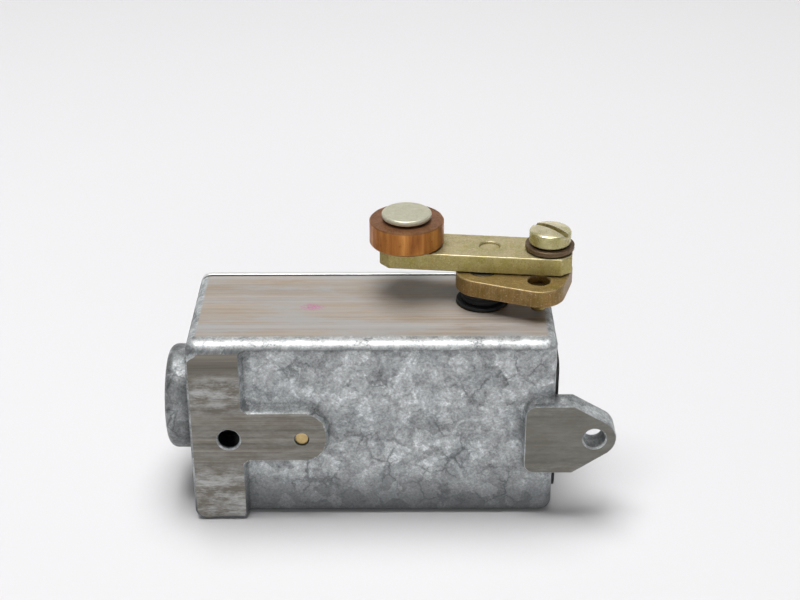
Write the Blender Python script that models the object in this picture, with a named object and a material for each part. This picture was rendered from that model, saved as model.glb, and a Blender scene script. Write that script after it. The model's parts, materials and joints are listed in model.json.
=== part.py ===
"""Limit switch with a rotary lever: cast case, two-piece roller lever and a centre-off contact unit.

Metres, +Z up. The origin is the centre of the case's underside. +X runs from the conduit boss to the
fixing ear, and -Y is the side that is bolted to a machine. The shaft stands upright in the top wall.
Run it with: blender --background --python part.py
"""

import math

import bmesh
import bpy
from mathutils import Matrix, Vector
from mathutils.geometry import convex_hull_2d

# ---------------------------------------------------------------- driving sizes
# Clearances. SEAT lies between faces that rest on each other, FIT round a fixed pin,
# RUN round a turning one.
SEAT = 0.00025
FIT = 0.0002
RUN = 0.00015
MARGIN = 0.002  # how far a cutter runs past what it cuts

# The cast case and what closes it.
CASE_LENGTH = 0.087
CASE_HEIGHT = 0.049
CASTING_DEPTH = 0.035
CASE_ROUND = 0.003
GASKET_THICKNESS = 0.0005
COVER_THICKNESS = 0.002
COVER_ROUND = 0.0012
END_WALL = 0.0035
FLOOR_WALL = 0.0035
TOP_WALL = 0.0055
FRONT_WALL = 0.006
PILLAR = 0.0075

# The bolting side: a bar, a tongue and an ear stand proud of a sunk face.
PAD_HEIGHT = 0.0025
BAR_WIDTH = 0.0124
TONGUE_RISE = 0.0073
TONGUE_DROP = 0.0059
TONGUE_END = 0.0055
TONGUE_CORNER = 0.0052
LIP_HEIGHT = 0.0013
SUNK_CORNER = 0.002
FIXING_BELOW_MIDDLE = 0.0005
FIXING_EDGE = 0.0092
FIXING_HOLE_RADIUS = 0.0026
EAR_HOLE_OVERHANG = 0.0093
EAR_THICKNESS = 0.006
EAR_RISE = 0.009
EAR_DROP = 0.0097
EAR_SHOULDER = 0.0043
EAR_PAD_INSET = 0.0073
EAR_NOSE_RADIUS = 0.0052
EAR_CORNER = 0.003

# The conduit entry.
CONDUIT_RADIUS = 0.0093
BOSS_WALL = 0.0035
BOSS_LENGTH = 0.0066
BOSS_ROUND = 0.0022
BOSS_Z = 0.025

# The shaft, its bush and seal.
SHAFT_FROM_END = 0.017
SHAFT_BEHIND_MIDDLE = 0.001
SHAFT_RADIUS = 0.004
SHAFT_NECK_RADIUS = 0.003
BUSH_WALL = 0.002
BUSH_CHAMFER = 0.0004
BUSH_BOSS_WALL = 0.0028
SEAL_WIDTH = 0.0016
SEAL_BULGE = 0.0005
COLLAR_LENGTH = 0.0014
CLIP_THICKNESS = 0.0008
CLIP_WIDTH = 0.0022
CLIP_GROOVE_DEPTH = 0.0008

# The crank on the shaft, and the roller lever on the crank.
CRANK_CLEARANCE = 0.004
CRANK_THICKNESS = 0.0042
CRANK_HUB_WALL = 0.0025
CRANK_END_RADIUS = 0.0063
CRANK_LEVER_END_RADIUS = 0.0057
LEVER_HOLE_REACH = 0.0162
LEVER_HOLE_ANGLE = math.radians(8)
SPARE_HOLE_REACH = 0.0141
SPARE_HOLE_ANGLE = math.radians(-22)
LEVER_THICKNESS = 0.0044
LEVER_WIDTH = 0.012
LEVER_SCREW_END = 0.0055
LEVER_ROLLER_END = 0.0062
LEVER_CHAMFER = 0.0024
LEVER_REACH = 0.0345
LEVER_RECESS_REACH = 0.0144
LEVER_ANGLE = math.radians(173.6)
LEVER_RECESS_RADIUS = 0.00255
LEVER_RECESS_DEPTH = 0.00055
LEVER_SCREW_RADIUS = 0.003
LEVER_HEAD_RADIUS = 0.005
LEVER_HEAD_HEIGHT = 0.0039
LEVER_HEAD_ROUND = 0.0008
LEVER_SLOT_WIDTH = 0.0016
LEVER_SLOT_DEPTH = 0.0017
LEVER_SLOT_ANGLE = math.radians(-48)
WASHER_RADIUS = 0.0059
WASHER_THICKNESS = 0.0014
WASHER_SPLIT = 0.0007
POINT_SCREW_RADIUS = 0.0025
POINT_RADIUS = 0.00175
POINT_LENGTH = 0.0033
ROLLER_RADIUS = 0.009
ROLLER_WIDTH = 0.006
ROLLER_PIN_RADIUS = 0.0029
ROLLER_CHAMFER = 0.0003
ROLLER_PLAY = 0.0005
ROLLER_CAP_RADIUS = 0.006
ROLLER_CAP_THICKNESS = 0.0013
ROLLER_CAP_ROUND = 0.0004

# The drive inside the case.
ARM_THICKNESS = 0.005
ARM_WALL = 0.0025
ARM_CLEARANCE = 0.0015
SHAFT_STUB = 0.0005
DRIVE_PIN_REACH = 0.0065
DRIVE_PIN_RADIUS = 0.0015
CROSS_PIN_RADIUS = 0.001
TURN_LIMIT = math.radians(35)
SLIDE_TRAVEL = DRIVE_PIN_REACH * math.sin(TURN_LIMIT)

# The contact unit.
UNIT_SCREW_FROM_SHAFT = 0.0434
UNIT_EDGE = 0.0066
UNIT_ROOM = 0.003
UNIT_DEPTH = 0.0105
UNIT_END_WALL = 0.003
SLIDER_FROM_SHAFT = 0.026
SLIDER_HALF_LENGTH = 0.006
SLIDER_HALF_HEIGHT = 0.0048
SLIDER_SINK = 0.0065
SLIDER_PROUD = 0.0062
SLIDER_RUN = 0.0003
SPRING_ROOM = 0.006
SPRING_WIRE = 0.00025
SPRING_RADIUS = 0.0029
SPRING_TURNS = 4
STEM_RADIUS = 0.002
FORK_HALF_LENGTH = 0.0045
FORK_SLOT_PLAY = 0.00035
FORK_FRONT_WALL = 0.002
FORK_REAR_WALL = 0.0035
STEM_SINK = 0.001
BRIDGE_THICKNESS = 0.0012
BRIDGE_WIDTH = 0.0036
BRIDGE_END = 0.00125
BRIDGE_SINK = 0.0012
BUTTON_RADIUS = 0.0016
BUTTON_HEIGHT = 0.0008
CONTACT_REST_GAP = SLIDE_TRAVEL + 0.0003
TERMINAL_THICKNESS = 0.0012
TERMINAL_LENGTH = 0.0085
TERMINAL_WIDTH = 0.007
TAB_HEIGHT = 0.0058
CLAMP_SIZE = 0.0062
CLAMP_THICKNESS = 0.0009
CLAMP_OFFSET = 0.0004

# Screws, by shank and head.
COVER_SCREW_RADIUS = 0.0018
COVER_HEAD_RADIUS = 0.0033
COVER_HEAD_HEIGHT = 0.0022
COVER_SCREW_LENGTH = 0.009
UNIT_SCREW_RADIUS = 0.0016
UNIT_SCREW_TIP = 0.0004
UNIT_HEAD_RADIUS = 0.0028
UNIT_HEAD_HEIGHT = 0.002
UNIT_HEAD_SINK = 0.005
TERMINAL_SCREW_RADIUS = 0.0013
TERMINAL_HEAD_RADIUS = 0.0027
TERMINAL_HEAD_HEIGHT = 0.0018
TERMINAL_SCREW_LENGTH = 0.006
EARTH_SCREW_RADIUS = 0.0015
EARTH_HEAD_RADIUS = 0.0028
EARTH_HEAD_HEIGHT = 0.0019
EARTH_SCREW_LENGTH = 0.003
EARTH_WASHER_RADIUS = 0.0036
EARTH_WASHER_THICKNESS = 0.0007
SLOT_SHARE = 0.5  # a small screw's slot, as a share of its head's height
SLOT_WIDTH = 0.0008

# The plate on the end.
PLATE_THICKNESS = 0.0006
PLATE_TOP_BORDER = 0.0085
PLATE_BORDER = 0.0045
PLATE_ROUND = 0.003
RIVET_RADIUS = 0.0011
RIVET_HEAD_RADIUS = 0.0018
RIVET_HEAD_HEIGHT = 0.0006
RIVET_LENGTH = 0.0022

# Facets round a full turn.
FINE, MEDIUM, COARSE = 40, 24, 16
ARC_STEPS = 5

# ---------------------------------------------------------------- places worked out from the sizes
LEFT = -CASE_LENGTH / 2
RIGHT = CASE_LENGTH / 2
COVER_STACK = GASKET_THICKNESS + COVER_THICKNESS + 2 * SEAT
FRONT = -(CASTING_DEPTH + COVER_STACK) / 2
CASTING_REAR = FRONT + CASTING_DEPTH
INNER_FRONT = FRONT + FRONT_WALL
CAVITY_LEFT = LEFT + END_WALL
CAVITY_RIGHT = RIGHT - END_WALL
CAVITY_FLOOR = FLOOR_WALL
CAVITY_TOP = CASE_HEIGHT - TOP_WALL
FIXING_Z = (CAVITY_FLOOR + CAVITY_TOP) / 2 - FIXING_BELOW_MIDDLE
SHAFT_X = RIGHT - SHAFT_FROM_END
SHAFT_Y = (INNER_FRONT + CASTING_REAR) / 2 + SHAFT_BEHIND_MIDDLE
BOSS_Y = (FRONT + CASTING_REAR) / 2
FIXING_X = LEFT + FIXING_EDGE
EAR_HOLE_X = RIGHT + EAR_HOLE_OVERHANG
UNIT_SCREW_X = SHAFT_X - UNIT_SCREW_FROM_SHAFT
UNIT_LEFT = UNIT_SCREW_X - UNIT_EDGE
SLIDER_X = SHAFT_X - SLIDER_FROM_SHAFT
CHANNEL_HALF = SLIDER_HALF_LENGTH + SPRING_ROOM
UNIT_RIGHT = SLIDER_X + CHANNEL_HALF + UNIT_END_WALL
UNIT_HALF_HEIGHT = min(FIXING_Z - CAVITY_FLOOR, CAVITY_TOP - FIXING_Z) - UNIT_ROOM
UNIT_FRONT = INNER_FRONT + SEAT
UNIT_REAR = UNIT_FRONT + UNIT_DEPTH
SLIDER_FRONT = UNIT_REAR - SLIDER_SINK + SLIDER_RUN
SLIDER_REAR = UNIT_REAR + SLIDER_PROUD
STEM_Y = UNIT_REAR - SLIDER_SINK / 2
BRIDGE_Y = UNIT_REAR + SLIDER_PROUD - BRIDGE_WIDTH / 2 - BRIDGE_SINK
TERMINAL_Z = (UNIT_HALF_HEIGHT + SLIDER_HALF_HEIGHT) / 2
CRANK_Z = CASE_HEIGHT + CRANK_CLEARANCE
LEVER_Z = CRANK_Z + CRANK_THICKNESS + SEAT
ROLLER_Z = LEVER_Z + LEVER_THICKNESS + SEAT
ARM_Z = FIXING_Z + SLIDER_HALF_HEIGHT + ARM_CLEARANCE
SHAFT_BOTTOM = ARM_Z - SHAFT_STUB
NECK_TOP = ARM_Z + ARM_THICKNESS + SEAT
CLIP_Z = NECK_TOP + COLLAR_LENGTH
BUSH_RADIUS = SHAFT_RADIUS + RUN + BUSH_WALL
BUSH_BOTTOM = CLIP_Z + CLIP_THICKNESS + SEAT


# ---------------------------------------------------------------- tools
def clear_scene():
    for thing in list(bpy.data.objects):
        bpy.data.objects.remove(thing)


def material(name, colour, roughness, metallic):
    made = bpy.data.materials.new(name)
    made.use_nodes = True
    shader = made.node_tree.nodes["Principled BSDF"]
    shader.inputs["Base Color"].default_value = (*colour, 1)
    shader.inputs["Roughness"].default_value = roughness
    shader.inputs["Metallic"].default_value = metallic
    return made


def arc(centre, radius, start, end, steps=ARC_STEPS):
    """Points along an arc, from one angle to another in radians, both ends included."""
    return [
        (
            centre[0] + radius * math.cos(start + (end - start) * i / steps),
            centre[1] + radius * math.sin(start + (end - start) * i / steps),
        )
        for i in range(steps + 1)
    ]


def circle(centre, radius, steps):
    return arc(centre, radius, 0, math.tau, steps)[:-1]


def rounded_box_outline(low, high, radius):
    """A rectangle with round corners, anticlockwise."""
    (x0, y0), (x1, y1) = low, high
    quarter = math.pi / 2
    corners = (
        ((x1 - radius, y1 - radius), 0),
        ((x0 + radius, y1 - radius), quarter),
        ((x0 + radius, y0 + radius), 2 * quarter),
        ((x1 - radius, y0 + radius), 3 * quarter),
    )
    points = []
    for centre, start in corners:
        points += arc(centre, radius, start, start + quarter)
    return points


def hull(points):
    return [points[i] for i in convex_hull_2d(points)]


def finished(mesh_in_work, name):
    """Turns a bmesh into a mesh with its faces pointing out."""
    bmesh.ops.remove_doubles(mesh_in_work, verts=mesh_in_work.verts, dist=1e-7)
    bmesh.ops.recalc_face_normals(mesh_in_work, faces=mesh_in_work.faces)
    mesh = bpy.data.meshes.new(name)
    mesh_in_work.to_mesh(mesh)
    mesh_in_work.free()
    mesh.shade_smooth()
    mesh.set_sharp_from_angle(angle=math.radians(35))
    return mesh


def prism(outline, low, high, axis="Z"):
    """An outline extruded from low to high. It is drawn in XY for axis Z, XZ for Y and YZ for X."""
    place = {
        "Z": lambda a, b, h: (a, b, h),
        "Y": lambda a, b, h: (a, h, b),
        "X": lambda a, b, h: (h, a, b),
    }[axis]
    work = bmesh.new()
    base = work.faces.new([work.verts.new(place(a, b, low)) for a, b in outline])
    extruded = bmesh.ops.extrude_face_region(work, geom=[base])
    moved = [v for v in extruded["geom"] if isinstance(v, bmesh.types.BMVert)]
    shift = Vector(place(0, 0, high - low))
    bmesh.ops.translate(work, verts=moved, vec=shift)
    return work


def turned(profile, steps=MEDIUM, ring=False):
    """A profile of (radius, height) points spun round Z. A ring's profile closes on itself."""
    work = bmesh.new()
    verts = [work.verts.new((radius, 0, height)) for radius, height in profile]
    edges = [work.edges.new(pair) for pair in zip(verts, verts[1:])]
    if ring:
        edges.append(work.edges.new((verts[-1], verts[0])))
    bmesh.ops.spin(
        work,
        geom=verts + edges,
        axis=(0, 0, 1),
        cent=(0, 0, 0),
        angle=math.tau,
        steps=steps,
        use_merge=True,
    )
    bmesh.ops.remove_doubles(work, verts=work.verts, dist=1e-7)
    return work


def tube(inner, outer, low, high, steps=MEDIUM):
    return turned([(inner, low), (outer, low), (outer, high), (inner, high)], steps, ring=True)


def rod(radius, low, high, steps=MEDIUM):
    return turned([(0, low), (radius, low), (radius, high), (0, high)], steps)


def box(low, high):
    (x0, y0, z0), (x1, y1, z1) = low, high
    return prism([(x0, y0), (x1, y0), (x1, y1), (x0, y1)], z0, z1)


def aimed(work, axis):
    """Turns a shape made along Z to lie along another axis, given as a vector."""
    turn = Vector((0, 0, 1)).rotation_difference(Vector(axis)).to_matrix()
    bmesh.ops.rotate(work, verts=work.verts, matrix=turn)
    return work


def shifted(work, offset):
    bmesh.ops.translate(work, verts=work.verts, vec=Vector(offset))
    return work


def joined(*works):
    """Several closed shapes in one bmesh, for a cutter, whose pieces may stay apart."""
    whole = works[0]
    for other in works[1:]:
        mesh = bpy.data.meshes.new("joined")
        other.to_mesh(mesh)
        other.free()
        whole.from_mesh(mesh)
        bpy.data.meshes.remove(mesh)
    return whole


def add(name, work, look=None, parent=None, at=(0, 0, 0), turn=0.0):
    """Adds a named object. at is in its parent's frame, and turn is about Z."""
    made = bpy.data.objects.new(name, finished(work, name))
    bpy.context.scene.collection.objects.link(made)
    made.location = at
    made.rotation_euler = (0, 0, turn)
    made.parent = parent
    if look:
        made.data.materials.append(look)
    return made


def empty(name, at, parent=None, turn=0.0):
    made = bpy.data.objects.new(name, None)
    bpy.context.scene.collection.objects.link(made)
    made.location = at
    made.rotation_euler = (0, 0, turn)
    made.parent = parent
    return made


def boolean(target, work, operation="DIFFERENCE"):
    """Cuts or joins a shape, given in the target's own frame."""
    helper = add(f"{target.name}_{operation.lower()}_{len(target.modifiers)}", work)
    helper.parent = target
    helper.hide_render = True
    helper.display_type = "WIRE"
    modifier = target.modifiers.new(operation.title(), "BOOLEAN")
    modifier.operation = operation
    modifier.solver = "EXACT"
    modifier.object = helper
    return target


def slotted_screw(shank, length, head, height, slot, depth, steps=COARSE):
    """A cheese-head screw whose head sits on z = 0, as a bmesh, and its slot's cutter."""
    edge = 0.12 * height
    body = turned(
        [
            (0, -length),
            (shank - edge, -length),
            (shank, -length + edge),
            (shank, 0),
            (head, 0),
            (head, height - edge),
            (head - edge, height),
            (0, height),
        ],
        steps,
    )
    cutter = box((-2 * head, -slot / 2, height - depth), (2 * head, slot / 2, height + MARGIN))
    return body, cutter


def small_screw(name, look, at, axis, shank, length, head, height, turn=0.0, parent=None):
    body, cutter = slotted_screw(shank, length, head, height, SLOT_WIDTH, SLOT_SHARE * height)
    for work in (body, cutter):
        bmesh.ops.rotate(work, verts=work.verts, matrix=Matrix.Rotation(turn, 3, "Z"))
    screw = add(name, aimed(body, axis), look, parent, at)
    return boolean(screw, aimed(cutter, axis))


# ---------------------------------------------------------------- the case
def sunk_face_outline():
    """The part of the bolting side that lies below the pads, with the bar and the tongue left out."""
    bar = LEFT + BAR_WIDTH
    top = CASE_HEIGHT - LIP_HEIGHT
    high = FIXING_Z + TONGUE_RISE
    low = FIXING_Z - TONGUE_DROP
    end = UNIT_SCREW_X + TONGUE_END
    corner = SUNK_CORNER
    tip = TONGUE_CORNER
    quarter = math.pi / 2
    points = [(RIGHT + MARGIN, -MARGIN), (RIGHT + MARGIN, top)]
    points += arc((bar + corner, top - corner), corner, quarter, 2 * quarter)
    points += arc((bar + corner, high + corner), corner, 2 * quarter, 3 * quarter)
    points += arc((end - tip, high - tip), tip, quarter, 0, 7)
    points += arc((end - tip, low + tip), tip, 0, -quarter, 7)
    points += arc((bar + corner, low - corner), corner, quarter, 2 * quarter)
    points += [(bar, -MARGIN)]
    return points


def ear_outline():
    pad = RIGHT - EAR_PAD_INSET
    low, high = FIXING_Z - EAR_DROP, FIXING_Z + EAR_RISE
    quarter = math.pi / 2
    nose = circle((EAR_HOLE_X, FIXING_Z), EAR_NOSE_RADIUS, FINE)
    shoulder = [(RIGHT + EAR_SHOULDER, low), (RIGHT + EAR_SHOULDER, high)]
    back = arc((pad + EAR_CORNER, high - EAR_CORNER), EAR_CORNER, quarter, 2 * quarter)
    back += arc((pad + EAR_CORNER, low + EAR_CORNER), EAR_CORNER, 2 * quarter, 3 * quarter)
    return hull(nose + shoulder + back)


def rounded_block():
    """The outer block of the casting. Every edge is round but those at the open rear."""
    work = box((LEFT, FRONT, 0), (RIGHT, CASTING_REAR, CASE_HEIGHT))
    edges = [e for e in work.edges if not all(abs(v.co.y - CASTING_REAR) < 1e-6 for v in e.verts)]
    bmesh.ops.bevel(work, geom=edges, offset=CASE_ROUND, segments=4, profile=0.5, affect="EDGES")
    return work


def pillar_centres():
    """The middle of each corner pillar, in X and Z."""
    half = PILLAR / 2
    return [
        (x, z)
        for x in (CAVITY_LEFT + half, CAVITY_RIGHT - half)
        for z in (CAVITY_FLOOR + half, CAVITY_TOP - half)
    ]


def cavity_outline():
    """The inside of the case, stepped in round the four pillars."""
    x0, x1, z0, z1 = CAVITY_LEFT, CAVITY_RIGHT, CAVITY_FLOOR, CAVITY_TOP
    p = PILLAR
    return [
        (x0 + p, z0), (x1 - p, z0), (x1 - p, z0 + p), (x1, z0 + p),
        (x1, z1 - p), (x1 - p, z1 - p), (x1 - p, z1), (x0 + p, z1),
        (x0 + p, z1 - p), (x0, z1 - p), (x0, z0 + p), (x0 + p, z0 + p),
    ]  # fmt: skip


def make_case(look):
    case = add("case", rounded_block(), look)
    boolean(case, prism(sunk_face_outline(), FRONT - MARGIN, FRONT + PAD_HEIGHT, "Y"))

    ear = prism(ear_outline(), FRONT, FRONT + EAR_THICKNESS, "Y")
    boolean(case, ear, "UNION")
    boss_radius = CONDUIT_RADIUS + BOSS_WALL
    boss = turned(
        [(0, -END_WALL)]
        + [(boss_radius, -END_WALL)]
        + arc((boss_radius - BOSS_ROUND, BOSS_LENGTH - BOSS_ROUND), BOSS_ROUND, 0, math.pi / 2, 4)
        + [(0, BOSS_LENGTH)],
        FINE,
    )
    boolean(case, shifted(aimed(boss, (-1, 0, 0)), (LEFT, BOSS_Y, BOSS_Z)), "UNION")

    boolean(case, prism(cavity_outline(), INNER_FRONT, CASTING_REAR + MARGIN, "Y"))
    bush_boss = rod(BUSH_RADIUS + FIT + BUSH_BOSS_WALL, BUSH_BOTTOM, CAVITY_TOP + MARGIN)
    boolean(case, shifted(bush_boss, (SHAFT_X, SHAFT_Y, 0)), "UNION")

    along_y = (0, 1, 0)
    through = FRONT_WALL + 2 * MARGIN
    holes = [
        shifted(
            rod(BUSH_RADIUS + FIT, BUSH_BOTTOM - MARGIN, CASE_HEIGHT + MARGIN),
            (SHAFT_X, SHAFT_Y, 0),
        ),
        shifted(
            aimed(rod(CONDUIT_RADIUS, -END_WALL - MARGIN, BOSS_LENGTH + MARGIN, FINE), (-1, 0, 0)),
            (LEFT, BOSS_Y, BOSS_Z),
        ),
    ]
    for x, radius in (
        (FIXING_X, FIXING_HOLE_RADIUS),
        (EAR_HOLE_X, FIXING_HOLE_RADIUS),
        (UNIT_SCREW_X, UNIT_SCREW_RADIUS + FIT),
    ):
        hole = aimed(rod(radius, 0, through), along_y)
        holes.append(shifted(hole, (x, FRONT - MARGIN, FIXING_Z)))
    blind = COVER_SCREW_LENGTH + MARGIN
    for x, z in pillar_centres():
        hole = aimed(rod(COVER_SCREW_RADIUS + FIT, 0, blind, COARSE), along_y)
        holes.append(shifted(hole, (x, CASTING_REAR - blind + MARGIN, z)))
    earth_x, earth_z = earth_place()
    hole = aimed(rod(EARTH_SCREW_RADIUS + FIT, 0, EARTH_SCREW_LENGTH + SEAT + MARGIN, COARSE), along_y)
    holes.append(shifted(hole, (earth_x, INNER_FRONT - EARTH_SCREW_LENGTH - SEAT, earth_z)))
    for y, z in rivet_places():
        hole = aimed(rod(RIVET_RADIUS + FIT, 0, RIVET_LENGTH + MARGIN, COARSE), (1, 0, 0))
        holes.append(shifted(hole, (RIGHT - RIVET_LENGTH, y, z)))
    boolean(case, joined(*holes))
    return case


def make_cover(look, gasket_look, screw_look):
    """The gasket, the cover and its four screws, on the open rear of the case."""
    outline = rounded_box_outline((LEFT, 0), (RIGHT, CASE_HEIGHT), CASE_ROUND)
    inner = rounded_box_outline(
        (CAVITY_LEFT - END_WALL / 2, CAVITY_FLOOR - FLOOR_WALL / 2),
        (CAVITY_RIGHT + END_WALL / 2, CAVITY_TOP + TOP_WALL / 2),
        CASE_ROUND,
    )
    inset = rounded_box_outline(
        (CAVITY_LEFT + PILLAR, CAVITY_FLOOR + PILLAR),
        (CAVITY_RIGHT - PILLAR, CAVITY_TOP - PILLAR),
        CASE_ROUND,
    )
    gasket_front = CASTING_REAR + SEAT
    frame = prism(inner, gasket_front, gasket_front + GASKET_THICKNESS, "Y")
    gasket = add("cover_gasket", frame, gasket_look)
    boolean(gasket, prism(inset, gasket_front - MARGIN, gasket_front + MARGIN, "Y"))

    cover_front = gasket_front + GASKET_THICKNESS + SEAT
    cover_rear = cover_front + COVER_THICKNESS
    work = prism(outline, cover_front, cover_rear, "Y")
    rim = [e for e in work.edges if all(abs(v.co.y - cover_rear) < 1e-6 for v in e.verts)]
    bmesh.ops.bevel(work, geom=rim, offset=COVER_ROUND, segments=3, profile=0.5, affect="EDGES")
    cover = add("cover", work, look)
    holes = [
        shifted(
            aimed(rod(COVER_SCREW_RADIUS + FIT, -MARGIN, COVER_THICKNESS + 2 * MARGIN, COARSE), (0, 1, 0)),
            (x, cover_front, z),
        )
        for x, z in pillar_centres()
    ]
    gasket_holes = [shifted(w.copy(), (0, -GASKET_THICKNESS, 0)) for w in holes]
    boolean(cover, joined(*holes))
    boolean(gasket, joined(*gasket_holes))
    for number, (x, z) in enumerate(pillar_centres(), 1):
        small_screw(
            f"cover_screw_{number}", screw_look, (x, cover_rear + SEAT, z), (0, 1, 0),
            COVER_SCREW_RADIUS, COVER_SCREW_LENGTH, COVER_HEAD_RADIUS, COVER_HEAD_HEIGHT,
            turn=math.radians(35 * number),
        )  # fmt: skip


def plate_box():
    """Lowest and highest corner of the end plate, in Y and Z."""
    low = (FRONT + EAR_THICKNESS + SEAT, PLATE_BORDER)
    high = (CASTING_REAR - PLATE_BORDER, CASE_HEIGHT - PLATE_TOP_BORDER)
    return low, high


def rivet_places():
    (y0, z0), (y1, z1) = plate_box()
    middle = (y0 + y1) / 2
    return [(middle, z0 + PLATE_BORDER), (middle, z1 - PLATE_BORDER)]


def make_end_plate(look, rivet_look):
    low, high = plate_box()
    start = RIGHT + SEAT
    plate = add(
        "end_plate",
        prism(rounded_box_outline(low, high, PLATE_ROUND), start, start + PLATE_THICKNESS, "X"),
        look,
    )
    holes = []
    for number, (y, z) in enumerate(rivet_places(), 1):
        hole = aimed(rod(RIVET_RADIUS + FIT, -MARGIN, MARGIN, COARSE), (1, 0, 0))
        holes.append(shifted(hole, (start, y, z)))
        rivet = turned(
            [
                (0, -RIVET_LENGTH),
                (RIVET_RADIUS, -RIVET_LENGTH),
                (RIVET_RADIUS, 0),
                (RIVET_HEAD_RADIUS, 0),
                (RIVET_HEAD_RADIUS * 0.8, RIVET_HEAD_HEIGHT * 0.7),
                (0, RIVET_HEAD_HEIGHT),
            ],
            COARSE,
        )
        face = start + PLATE_THICKNESS + SEAT
        add(f"end_plate_rivet_{number}", aimed(rivet, (1, 0, 0)), rivet_look, at=(face, y, z))
    boolean(plate, joined(*holes))


def earth_place():
    """The earth screw's X and Z, in the wiring space above the conduit entry."""
    return UNIT_LEFT - EARTH_WASHER_RADIUS - SEAT, CAVITY_TOP - EARTH_WASHER_RADIUS - 2 * SEAT


def make_earth_terminal(screw_look, washer_look):
    x, z = earth_place()
    washer_face = INNER_FRONT + SEAT
    washer = tube(EARTH_SCREW_RADIUS + FIT, EARTH_WASHER_RADIUS, 0, EARTH_WASHER_THICKNESS, COARSE)
    add("earth_washer", aimed(washer, (0, 1, 0)), washer_look, at=(x, washer_face, z))
    small_screw(
        "earth_screw", screw_look, (x, washer_face + EARTH_WASHER_THICKNESS + SEAT, z), (0, 1, 0),
        EARTH_SCREW_RADIUS, EARTH_SCREW_LENGTH, EARTH_HEAD_RADIUS, EARTH_HEAD_HEIGHT,
    )  # fmt: skip


# ---------------------------------------------------------------- the shaft and the lever
def make_bush_and_seal(bush_look, seal_look):
    bore = SHAFT_RADIUS + RUN
    low, top = BUSH_BOTTOM, CASE_HEIGHT - SEAT
    bush = turned(
        [
            (bore, low),
            (BUSH_RADIUS, low),
            (BUSH_RADIUS, top - BUSH_CHAMFER),
            (BUSH_RADIUS - BUSH_CHAMFER, top),
            (bore, top),
        ],
        ring=True,
    )
    add("shaft_bush", bush, bush_look, at=(SHAFT_X, SHAFT_Y, 0))
    seal_low = CASE_HEIGHT + SEAT
    seal_high = CRANK_Z - SEAT
    lip = bore + SEAL_WIDTH
    seal = turned(
        [
            (bore, seal_low),
            (lip, seal_low),
            (lip + SEAL_BULGE, (seal_low + seal_high) / 2),
            (lip, seal_high),
            (bore, seal_high),
        ],
        ring=True,
    )
    add("shaft_seal", seal, seal_look, at=(SHAFT_X, SHAFT_Y, 0))


def make_shaft(look, clip_look, arm_look, pin_look, axis):
    """The shaft, and what is fixed to it inside the case. axis is the empty on the shaft's line."""
    top = CRANK_Z + CRANK_THICKNESS
    groove = SHAFT_RADIUS - CLIP_GROOVE_DEPTH
    clip_low = CLIP_Z
    clip_top = CLIP_Z + CLIP_THICKNESS
    shaft = turned(
        [
            (0, SHAFT_BOTTOM),
            (SHAFT_NECK_RADIUS, SHAFT_BOTTOM),
            (SHAFT_NECK_RADIUS, NECK_TOP),
            (SHAFT_RADIUS, NECK_TOP),
            (SHAFT_RADIUS, clip_low - SEAT),
            (groove, clip_low - SEAT),
            (groove, clip_top),
            (SHAFT_RADIUS, clip_top),
            (SHAFT_RADIUS, CRANK_Z - SEAT),
            (SHAFT_NECK_RADIUS, CRANK_Z - SEAT),
            (SHAFT_NECK_RADIUS, top),
            (0, top),
        ]
    )
    add("shaft", shaft, look, axis)
    cross = aimed(rod(CROSS_PIN_RADIUS + FIT, -0.01, 0.01, COARSE), (1, 0, 0))
    boolean(bpy.data.objects["shaft"], shifted(cross, (0, 0, ARM_Z + ARM_THICKNESS / 2)))

    ring = tube(groove + FIT, SHAFT_RADIUS + CLIP_WIDTH, clip_low, clip_top)
    clip = add("shaft_clip", ring, clip_look, axis)
    boolean(clip, box((0, -groove, clip_low - MARGIN), (0.02, groove, clip_top + MARGIN)))

    hub = SHAFT_NECK_RADIUS + FIT + ARM_WALL
    outline = hull(
        circle((0, 0), hub, MEDIUM)
        + circle((0, -DRIVE_PIN_REACH), DRIVE_PIN_RADIUS + ARM_WALL / 2 + FIT, COARSE)
    )
    arm = add("drive_arm", prism(outline, ARM_Z, ARM_Z + ARM_THICKNESS), arm_look, axis)
    bore = rod(SHAFT_NECK_RADIUS + FIT, ARM_Z - MARGIN, ARM_Z + ARM_THICKNESS + MARGIN)
    pin_bore = shifted(
        rod(DRIVE_PIN_RADIUS + FIT, ARM_Z - MARGIN, ARM_Z + ARM_THICKNESS + MARGIN, COARSE),
        (0, -DRIVE_PIN_REACH, 0),
    )
    boolean(arm, joined(bore, pin_bore))
    cross = aimed(rod(CROSS_PIN_RADIUS + FIT, -0.01, 0.01, COARSE), (1, 0, 0))
    boolean(arm, shifted(cross, (0, 0, ARM_Z + ARM_THICKNESS / 2)))
    cross_pin = aimed(rod(CROSS_PIN_RADIUS, -hub, hub, COARSE), (1, 0, 0))
    add("drive_arm_pin", cross_pin, pin_look, axis, at=(0, 0, ARM_Z + ARM_THICKNESS / 2))
    drive_pin = rod(DRIVE_PIN_RADIUS, FIXING_Z - SLIDER_HALF_HEIGHT, ARM_Z + ARM_THICKNESS, COARSE)
    add("drive_pin", drive_pin, pin_look, axis, at=(0, -DRIVE_PIN_REACH, 0))


def on_circle(reach, angle):
    return (reach * math.cos(angle), reach * math.sin(angle))


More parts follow.
